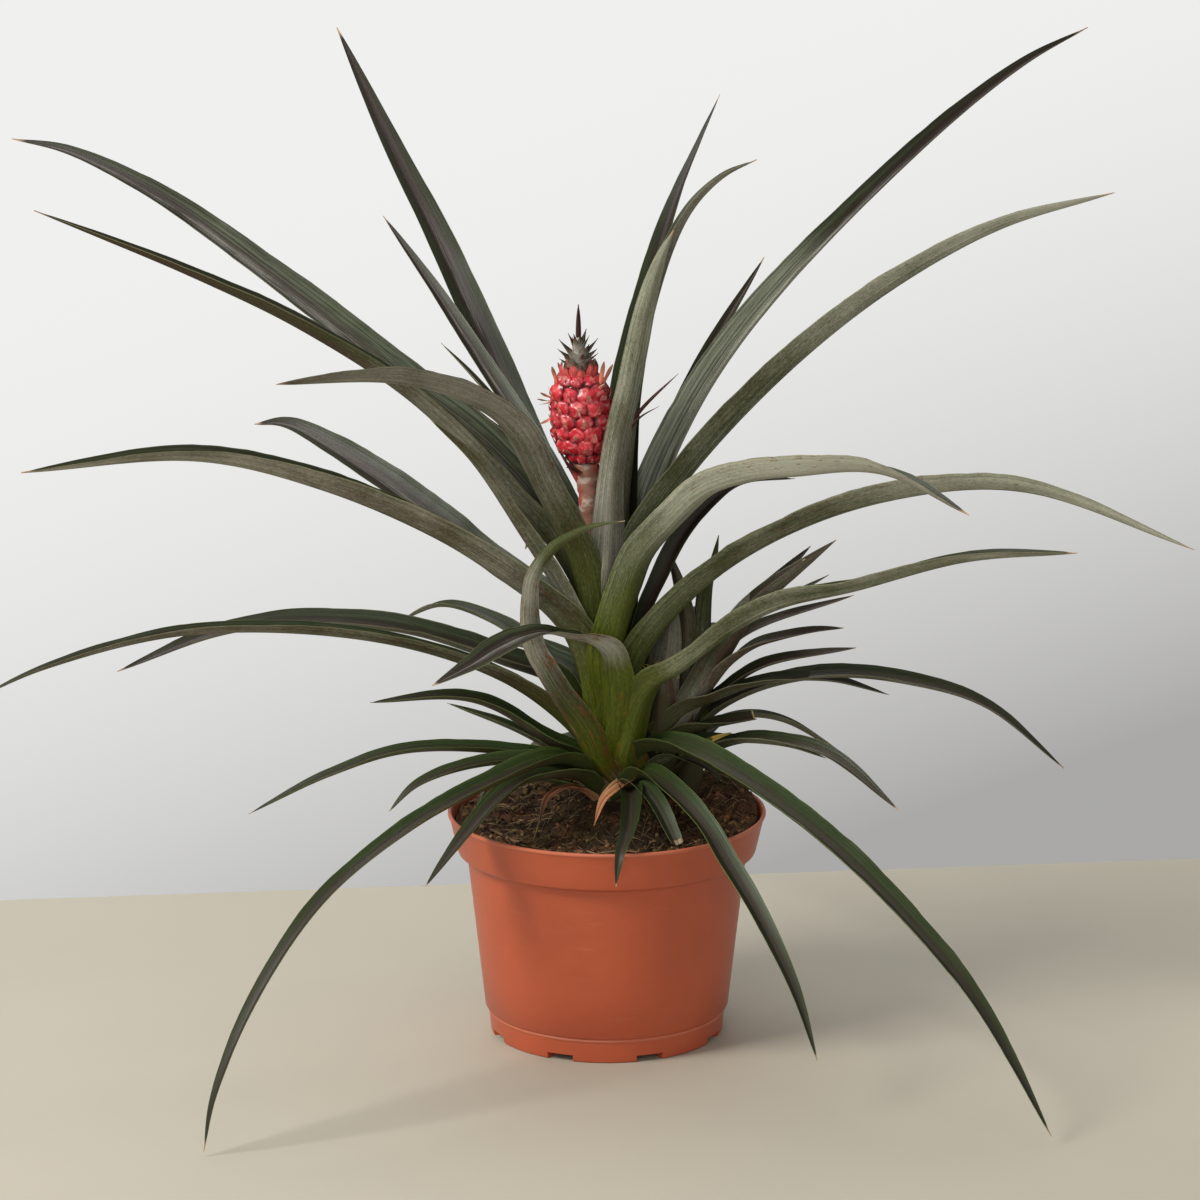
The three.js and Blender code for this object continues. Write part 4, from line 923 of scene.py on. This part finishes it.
shoot = {
    "x": 38, "y": 19, "leanX": 0.1, "leanY": 0.02, "base": 106, "steps": 24,
    "core": [(0, 86), (4.5, 86), (6.5, 92), (7, 108), (6, 130), (4.6, 150), (3, 168), (1.4, 180), (0, 180)],
}
shootBlades = [
    dict(facing=(262, 268), width=10.5, look=(0.9, 0.3, 0.1),
         route=[(-1.5, 140, -5), (0.5, 157, -5), (0, 180, -5), (-1, 199, -5), (-3.5, 211, -4),
                (-9.5, 230, -1)]),
    dict(facing=(275, 285), width=9, look=(0.4, 0.2, 0.5),
         route=[(6, 140, -3), (7, 161, -3), (7.5, 181, -3), (8, 197, -3), (9.5, 212, -3),
                (12.5, 224, -2), (14.5, 236, -1)]),
    dict(facing=(270, 270), width=5, look=(1, 0.2, 0), route=[(5, 180, 3), (6, 204, 3), (7, 220, 5)]),
    dict(facing=(262, 262), width=14, look=(1, 0.1, 0.1),
         route=[(-17, 112, -8), (-18, 138, -10), (-18.5, 164, -11), (-17.5, 187, -9)]),
    dict(facing=(262, 262), width=15.5, look={0: (1, 0.5, 0), 1: (1, 0.7, 0)},
         route=[(-15, 138, -11), (-13, 154, -13), (-11, 174, -13), (-9, 188, -12), (-8, 202, -10),
                (-5.5, 213, -7)]),
    dict(facing=(262, 266), width=16, cut=0.8, thick=(1.4, 1),
         look={0: (1, 0, 0, 0.1), 0.6: (1, 0, 0, 0.25), 0.88: (1, 0.3, 0, 0.5)},
         route=[(-13, 130, -16), (-13, 155, -17), (-13, 168, -17), (-14, 176, -16)]),
    dict(facing=(265, 285), width=13,
         look={0: (0.6, 0.5, 0.2), 0.2: (1, 0.6, 0, 0.1), 0.38: (1, 0.1, 0, 0.5), 0.5: (1, 0.4, 0, 0.1),
               1: (1, 0.5, 0)}, roll=(0, 0, 20, 30),
         route=[(-9, 141, -14), (-3.5, 151, -16), (3.5, 164, -17), (11.5, 178, -16), (19, 189, -14),
                (27, 200, -11), (38, 210, -7), (53, 220, -1), (70, 232, 6)]),
    dict(azimuth=-20, width=13, roll=(0, 30), look=(1, 0.5, 0.1),
         route=[(3, 135), (8, 168), (18, 188), (34, 208), (58, 229)]),
    dict(azimuth=25, width=12, roll=(0, 25), look=(0.8, 0.5, 0.3),
         route=[(3, 140), (8, 162), (20, 183), (65, 224)]),
    dict(azimuth=35, width=9, look=(0.8, 0.5, 0.3), route=[(3, 132), (10, 160), (28, 183), (84, 205)]),
    dict(azimuth=5, width=9, roll=(0, 25), look=(0.8, 0.5, 0.3),
         route=[(3, 132), (8, 161), (25, 185), (79, 205)]),
    dict(facing=(275, 390), width=10.5, roll=(0, 10, 25), look=(1, 0.3, 0.1),
         route=[(-1.5, 146, -13), (5, 157, -14), (12.5, 167, -14), (21, 177, -13), (32, 184, -10),
                (44, 187, -6), (60, 189, 1), (74, 189, 7)]),
    dict(azimuth=-8, width=11, roll=(0, 25), look=(0.9, 0.3, 0.3),
         route=[(3, 126), (8, 150), (18, 160), (36, 173), (80, 184)]),
    dict(width=14, roll=(0, 25), look=(0.6, 0.4, 0.2),
         route=[(-10, 112), (0, 130), (10, 146), (33, 160), (67, 167), (103, 164), (140, 153),
                (179, 122)]),
    dict(facing=(280, 390), width=11.5, roll=(0, 10, 20), look=(0.6, 0.3, 0.3),
         route=[(-15, 141, -16), (-8, 148, -17), (1, 155, -16), (12.5, 159, -14), (27, 164, -10),
                (44, 166.5, -6), (68, 164, 4), (96, 155, 12)]),
    dict(azimuth=15, width=10, look=(0.5, 0.4, 0.4),
         route=[(3, 118), (9, 138), (27, 145), (47, 142), (81, 121)]),
    dict(azimuth=-40, width=13, roll=(0, 15), look=(0.5, 0.4, 0.3),
         route=[(-8, 108), (4, 124), (26, 138), (50, 144), (85, 143), (125, 125)]),
    dict(facing=(275, 350), width=13, cut=0.78, dryEnd=0.98, roll=(0, 20), look=(0.6, 0.2, 0.2),
         route=[(-14, 134, -15), (-7, 138, -15), (1, 143, -15), (13, 146, -13), (32, 149, -9)]),
    dict(facing=(270, 300), width=4.6, cut=0.96, thick=(1.4, 1),
         look={0: (0.3, 0, 0.6), 0.5: (0.2, 0.3, 0.8), 0.7: (0, 0.3, 0.8, 1)},
         route=[(-4, 134, -21), (3.5, 138, -21), (11.5, 141.5, -21), (20.5, 145, -20)]),
    dict(facing=(275, 390), width=9, roll=(0, 10, 20), look=(0.4, 0.4, 0.5),
         route=[(-15, 135, -19), (-6, 138, -19), (6, 140, -17), (17, 139, -15), (32, 138, -11),
                (49, 134, -5), (66, 127)]),
    dict(facing=(275, 350), width=9, roll=(0, 20), look=(0.3, 0.2, 0.6),
         route=[(-20, 121, -23), (-13, 130, -23), (-4, 133, -22), (8, 129, -22), (16, 122, -22)]),
    dict(facing=(275, 350), width=9, roll=(0, 20), look=(0.3, 0.2, 0.6),
         route=[(-14, 118, -16), (-10, 130, -20), (-2, 138, -22), (10, 138, -23), (24, 131, -22)]),
    dict(azimuth=82, width=12, look=(0.5, 0.5, 0.7),
         route=[(3, 124), (9, 150), (22, 172), (46, 186), (76, 180)]),
    dict(azimuth=112, width=11, look=(0.5, 0.5, 0.7),
         route=[(3, 118), (9, 138), (24, 154), (50, 156), (72, 142)]),
    dict(azimuth=55, width=11, look=(0.4, 0.5, 0.7), route=[(3, 114), (10, 130), (28, 138), (46, 138)]),
]
# Torn fibres at the top of the split sheath: where each starts (x, y, height) and its way
shootFibres = [
    ((20, 2, 174), (-7, -2, 5)), ((22, 2, 176), (3, -2, 4)), ((25, 2, 176), (9, -1, 0)),
    ((21, 2, 175), (-4, -1, 3)), ((29, 3, 175), (5, -2, -4)), ((18, 2, 172), (-6, -1, 1)),
    ((27, 2, 176), (7, -3, -3)),
]


def makeShoot():
    bm = bmesh.new()
    bladeLayers(bm)
    turned(bm, shoot["core"], shoot["steps"])
    for vert in bm.verts:
        up = vert.co.z - shoot["base"]
        vert.co.x += shoot["x"] + shoot["leanX"] * up
        vert.co.y += shoot["y"] + shoot["leanY"] * up
    paintBlank(bm, (0.1, 0, 1, 0.1), (0.9, 0, 0, 0))
    narrow = dict(azimuth=0, columns=10, rows=44, hollows=(0.6, 0.6), sheath=0.2, thick=(1, 0.5), foot=1)
    for blade in shootBlades:
        addSprig(bm, (shoot["x"], shoot["y"]), **{**narrow, **blade})
    for start, way in shootFibres:
        foot, reach = Vector(start), Vector(way)
        path = [foot, foot + reach * 0.5 + Vector((0, 0, 1)), foot + reach]
        addBlade(bm, path, facing=(270, 270), width=0.7, columns=2, rows=8, thick=(0.4, 0.3), edge=0.2,
                 hollows=(0, 0), foot=1, ripple=0.4, look={0: (0, 0.5, 0, 1)})
    material = leafFinish(
        "shootLeaf", purple=(0.042, 0.024, 0.018), brown=(0.066, 0.038, 0.026),
        mauve=(0.140, 0.108, 0.100), stain=(0.110, 0.036, 0.022), husk=(0.330, 0.230, 0.050),
        pale=(0.520, 0.390, 0.100))
    toPiece("shoot_blades", bm, material, "side_shoot")


makeCrown()
makeBracts()
makeShoot()
print("crown, bracts and side shoot")


# The pot: turned, with eight drainage notches cut in its foot

pot = {
    "steps": 160, "clay": (0.46, 0.083, 0.029), "worn": (0.56, 0.19, 0.10), "dark": (0.26, 0.055, 0.026),
    "notches": 8, "notchWidth": 14.5, "notchInner": 9, "notchDepth": 11, "notchHeight": 3.3,
    "firstNotch": -113.5, "footRadius": 55, "sharpAngle": 38,
    # lipFade and the two ring spans: heights of the painted highlight lines on the lip bead and the raised
    # foot ring
    "lipFade": (0.1052, 0.1066), "ringFade": (0.0098, 0.0106), "ringEnd": (0.0114, 0.0122, 1, 0),
}
potProfile = [
    (0, 0), (50, 0), (54.0, 0), (54.6, 0.2), (54.9, 0.5), (55, 0.9), (55.45, 5), (55.9, 10.1),
    (56.2, 10.4), (56.45, 10.75), (56.5, 11.1), (56.4, 11.45), (56.2, 11.75), (56.9, 12.4),
    (57.7, 13.3), (60, 34), (63, 60.5), (65.6, 83.4), (66, 86.3), (66.3, 87.0), (66.9, 87.4),
    (69.8, 88.6), (70.35, 89.0), (70.6, 89.7), (72.4, 97.5), (74.2, 105.3), (74.45, 105.8),
    (74.8, 106.0), (75, 106.3), (75.0, 107.0), (74.85, 107.4), (74.5, 107.6), (73.9, 107.6),
    (73.4, 107.3), (73.1, 106.6), (72.8, 105.5), (69, 90), (64.6, 87), (60, 47), (56.2, 13.4),
    (54.7, 11), (53.3, 5.4), (52.4, 3.6), (50, 2.4), (0, 2.4),
]


def potFinish():
    clay = Finish("potPlastic", {"IOR": 1.47, "Coat Weight": 0.12, "Coat Roughness": 0.3})
    cloud = clay.noise(16, 5, 0.6)
    fine = clay.noise(2600, 2)
    scuffs = clay.noise((60, 60, 620), 4, 0.65)
    height = clay.parts(clay.place, "XYZ")[2]
    shade = clay.mix(0.25, pot["clay"], pot["dark"])
    colour = clay.mix(clay.between(cloud, 0.3, 0.7), shade, pot["clay"])
    colour = clay.mix(clay.between(scuffs, 0.58, 0.75) * 0.18, colour, pot["worn"])
    # Painted highlight: a lighter line in the worn colour along the lip bead and along the raised ring near
    # the foot
    ring = clay.between(height, *pot["ringFade"]) * clay.between(height, *pot["ringEnd"])
    edgeHighlight = clay.maths("MAXIMUM", clay.between(height, *pot["lipFade"]), ring)
    colour = clay.mix(edgeHighlight * 0.45, colour, pot["worn"])
    clay.wear({"Base Color": colour, "Roughness": scuffs * 0.14 + 0.34})
    clay.bump(cloud * 2.0 + fine, 0.12, 0.0004)
    return clay.material


def notchCutters():
    bm = bmesh.new()
    outer = pot["footRadius"] + 4
    inner = pot["footRadius"] - pot["notchDepth"]
    for i in range(pot["notches"]):
        turn = Quaternion((0, 0, 1), math.radians(pot["firstNotch"] + 360 / pot["notches"] * i))
        for vert in bmesh.ops.create_cube(bm, size=2)["verts"]:
            reach, wide = (outer, pot["notchWidth"]) if vert.co.x > 0 else (inner, pot["notchInner"])
            height = pot["notchHeight"] if vert.co.z > 0 else -2
            vert.co = turn @ Vector((reach, vert.co.y * wide / 2, height))
    return toPiece("notchCutters", bm, bpy.data.materials.new("cutter"), None)


def makePot():
    bm = bmesh.new()
    turned(bm, potProfile, pot["steps"])
    piece = toPiece("pot_shell", bm, potFinish(), "pot")
    cutters = notchCutters()
    cut = piece.modifiers.new("notches", "BOOLEAN")
    cut.object = cutters
    cut.operation = "DIFFERENCE"
    cut.solver = "EXACT"
    bpy.context.view_layer.update()
    shaped = bpy.data.meshes.new_from_object(piece.evaluated_get(bpy.context.evaluated_depsgraph_get()))
    piece.modifiers.clear()
    piece.data = shaped
    bpy.data.objects.remove(cutters)
    shaped.set_sharp_from_angle(angle=math.radians(pot["sharpAngle"]))


makePot()
print("pot")


# The peat: a heaped surface with crumbs, straw and twigs

peat = {
    "rings": 72, "steps": 240, "topRadius": 71.2, "level": 101.8, "crumbs": 1100, "crumbReach": 69.5,
    "straws": 560, "strawReach": 66, "wall": 69,
    "dark": (0.020, 0.012, 0.007), "brown": (0.250, 0.098, 0.040), "moss": (0.200, 0.130, 0.045),
    "straw": (0.500, 0.340, 0.170),
}
# Mounds at the plant's foot and at the shoot's: x, y, height, spread
peatMounds = [(0, 0, 16.5, 450), (45, 26, 14, 620)]
# Lumps, crumbs and grit of the surface: size, layer of the noise, height
peatGrain = [(6, 3, 1.8), (2.4, 9, 1.2), (1, 5, 0.6)]
# Twigs: points (x, y, height above the peat), width, how pale
peatTwigs = [
    ([(-62, -8, 1.2), (-52, -22, 1.8), (-44, -34, 1.2), (-38, -44, 0.6)], 1.7, 0.35),
    ([(-34, -30, 0.4), (-33, -31, 5), (-32, -31, 10), (-33, -32, 14)], 0.9, 0.8),
    ([(20, -52, 0.6), (32, -46, 1.6), (44, -40, 0.9)], 1.3, 0.3),
    ([(-10, -62, 0.5), (4, -60, 1.4), (16, -63, 0.6)], 1.0, 0.55),
]


def soilHeight(x, y):
    reach = math.hypot(x, y)
    mounds = sum(height * math.exp(-((x - midX) ** 2 + (y - midY) ** 2) / spread)
                 for midX, midY, height, spread in peatMounds)
    bank = 3.4 * eased(reach, 44, 68) * (0.6 + 0.4 * math.cos(math.atan2(y, x) - 0.7))
    rolls = 0.9 * math.sin(x * 0.31 + 1.3) * math.cos(y * 0.27) + 0.7 * math.sin(x * 0.83 - y * 0.61)
    rolls *= 0.5 if reach > 68 else 1
    grain = sum(noise.noise(Vector((x / size, y / size, layer))) * height
                for size, layer, height in peatGrain)
    return peat["level"] + mounds + bank + rolls + grain


def peatFinish():
    earth = Finish("peat", {"Roughness": 0.95, "Specular IOR Level": 0.25})
    lumps = earth.noise(160, 6, 0.7)
    grit = earth.noise(900, 4, 0.7)
    straw, _, _, own = earth.painted("look")
    share = earth.between(lumps * 0.6 + own * 0.4 + grit * 0.6 - 0.25, 0.3, 0.85)
    crumb = earth.mix(earth.between(earth.noise(55), 0.4, 0.6), peat["brown"], peat["moss"])
    damp = earth.between(earth.noise(32), 0.5, 0.62, 1, 0.25)
    colour = earth.mix(share * damp, peat["dark"], crumb)
    colour = earth.mix(straw * earth.between(grit, 0.2, 0.7, 0.45, 1), colour, peat["straw"])
    earth.wear({"Base Color": colour})
    earth.bump(grit * 0.6 + lumps, 0.8, 0.0012)
    return earth.material


def addCrumb(bm, looks, i):
    reach = peat["crumbReach"] * math.sqrt(chance.random())
    angle = chance.uniform(0, math.tau)
    x, y = reach * math.cos(angle), reach * math.sin(angle)
    size = chance.uniform(0.4, 1.5) * (1.7 if chance.random() < 0.1 else 1)
    squash = Vector((chance.uniform(0.7, 1.4), chance.uniform(0.7, 1.2), chance.uniform(0.5, 0.9))) * size
    turn = Quaternion((chance.gauss(0, 1), chance.gauss(0, 1), chance.gauss(0, 1)), chance.uniform(0, 3))
    own = chance.random()
    place = Vector((x, y, soilHeight(x, y) + size * 0.15))
    for vert in bmesh.ops.create_icosphere(bm, subdivisions=1, radius=1)["verts"]:
        knob = vert.co * (1 + 0.35 * noise.noise(vert.co * 1.7 + Vector((i, 0, 0))))
        vert.co = place + turn @ (knob * squash)
        vert[looks] = (0.15 if own > 0.85 else 0, 0, 0, own)


def addFibre(bm, path, width, thick, shade, **size):
    addBlade(bm, path, width=width, thick=(width * thick[0], width * thick[1]), edge=width * thick[2],
             hollows=(0, 0), foot=1, taper=8, ripple=0.1, look=(shade, 0, 0, 0.5), **size)


def addStraw(bm):
    reach = peat["strawReach"] * math.sqrt(chance.random())
    angle = chance.uniform(0, math.tau)
    heading = chance.uniform(0, math.tau)
    length = chance.uniform(4, 15)
    bend = chance.uniform(-0.5, 0.5)
    path = []
    for k in range(4):
        x = reach * math.cos(angle) + length * k / 3 * math.cos(heading + bend * k / 3)
        y = reach * math.sin(angle) + length * k / 3 * math.sin(heading + bend * k / 3)
        if math.hypot(x, y) > peat["wall"]:
            break
        path.append(Vector((x, y, soilHeight(x, y) + chance.uniform(0.1, 1.1))))
    if len(path) > 2:
        width = chance.uniform(0.35, 0.95)
        shade = chance.uniform(0.15, 0.9) ** 1.5
        addFibre(bm, path, width, (0.7, 0.5, 0.3), shade, columns=2, rows=6)


def makePeat():
    bm = bmesh.new()
    bladeLayers(bm)
    sides = [(0, 2.8), (49.6, 2.8), (52.9, 5.8), (54.3, 11.4), (55.8, 13.9), (64.1, 87.3), (68.5, 90.5),
             (peat["topRadius"], 100.5)]
    top = [(peat["topRadius"] * (1 - i / peat["rings"]), 102) for i in range(peat["rings"] + 1)]
    turned(bm, sides + top, peat["steps"])
    for vert in bm.verts:
        if vert.co.z > 101:
            vert.co.z = soilHeight(vert.co.x, vert.co.y)
    paintBlank(bm, (0, 0, 0, 0), (0, 0, 0, 0.3))
    looks = bm.verts.layers.float_color["look"]
    for i in range(peat["crumbs"]):
        addCrumb(bm, looks, i)
    for i in range(peat["straws"]):
        addStraw(bm)
    for points, width, shade in peatTwigs:
        path = [Vector((x, y, soilHeight(x, y) + rise)) for x, y, rise in points]
        addFibre(bm, path, width, (0.9, 0.8, 0.4), shade, columns=4, rows=16)
    toPiece("peat_top", bm, peatFinish(), "soil")


makePeat()
print("peat")


# The room: a pale table whose back edge crosses behind the pot, a pale wall beyond with painted shade, soft
# light

room = {
    "tableEdge": ((-3, -0.120), (3, 0.600)), "front": -3, "table": (0.475, 0.435, 0.350),
    "wall": (0.87, 0.868, 0.86), "wallShade": (0.40, 0.396, 0.388), "fillLight": 0.36,
    "shadeSlant": -0.35, "shadeFrom": (-0.140, -0.300), "lampTarget": (0, 0, 0.2),
}
lamps = [
    dict(name="key", place=(-1.7, -1.0, 1.9), size=0.9, power=62, colour=(1, 0.98, 0.94)),
    dict(name="overhead", place=(-0.3, 0.9, 2.2), size=1.6, power=22, colour=(0.96, 0.98, 1)),
    dict(name="front", place=(-0.3, -2.6, 0.9), size=1.4, power=16, colour=(1, 0.99, 0.97)),
    dict(name="fill", place=(1.9, -1.6, 1.2), size=1.8, power=5, colour=(1, 0.98, 0.95)),
]
view = {"lens": 158.8, "sensor": 36, "place": (-0.0032, -2.4, 0.804), "tilt": 76.08}


def tableFinish():
    top = Finish("table", {"Roughness": 0.62})
    darker = [part * 0.93 for part in room["table"]]
    top.wear({"Base Color": top.mix(top.noise(9, 4, 0.6), darker, room["table"])})
    top.bump(top.noise(1400, 2), 0.08, 0.0003)
    return top.material


def makeTable():
    bm = bmesh.new()
    for vert in bmesh.ops.create_grid(bm, x_segments=1, y_segments=1, size=1)["verts"]:
        left, right = room["tableEdge"]
        x, y = left if vert.co.x < 0 else right
        vert.co = (x, y if vert.co.y > 0 else room["front"], 0)
    table = toPiece("table", bm, tableFinish(), None, scale=1)


def makeLights():
    for lamp in lamps:
        light = bpy.data.lights.new(lamp["name"], "AREA")
        light.size = lamp["size"]
        light.energy = lamp["power"]
        light.color = lamp["colour"]
        holder = addObject(lamp["name"], light)
        holder.location = lamp["place"]
        way = Vector(room["lampTarget"]) - Vector(lamp["place"])
        holder.rotation_euler = way.to_track_quat("-Z", "Y").to_euler()


def makeWall():
    # The world: the wall that the camera sees, with painted shade darkening it low on the right, and an
    # even light for the plant
    world = bpy.data.worlds.new("wall")
    bpy.context.scene.world = world
    world.use_nodes = True
    wall = Nodes(world.node_tree)
    right, _, up = wall.parts(wall.add("TexCoord", output="Generated"), "XYZ")
    start, end = room["shadeFrom"]
    lower = wall.add("MapRange", {0: right * room["shadeSlant"] + up, 1: start, 2: end})
    shown = wall.nodes["Background"]
    wall.feed(shown.inputs["Color"], wall.mix(lower * lower, room["wall"], room["wallShade"]))
    even = wall.add("Background", {"Color": room["wall"], "Strength": room["fillLight"]})
    seen = wall.add("LightPath", output="Is Camera Ray")
    both = wall.add("MixShader", {0: seen, 1: even, 2: Value(wall, shown.outputs[0])})
    wall.feed(wall.nodes["World Output"].inputs["Surface"], both)


def makeCamera():
    lens = bpy.data.cameras.new("camera")
    lens.lens = view["lens"]
    lens.sensor_width = view["sensor"]
    lens.sensor_fit = "HORIZONTAL"
    camera = addObject("camera", lens)
    camera.location = view["place"]
    camera.rotation_euler = (math.radians(view["tilt"]), 0, 0)
    bpy.context.scene.camera = camera


makeTable()
makeLights()
makeWall()
makeCamera()
bpy.context.scene.view_settings.view_transform = "Standard"
print("room, lights and camera")
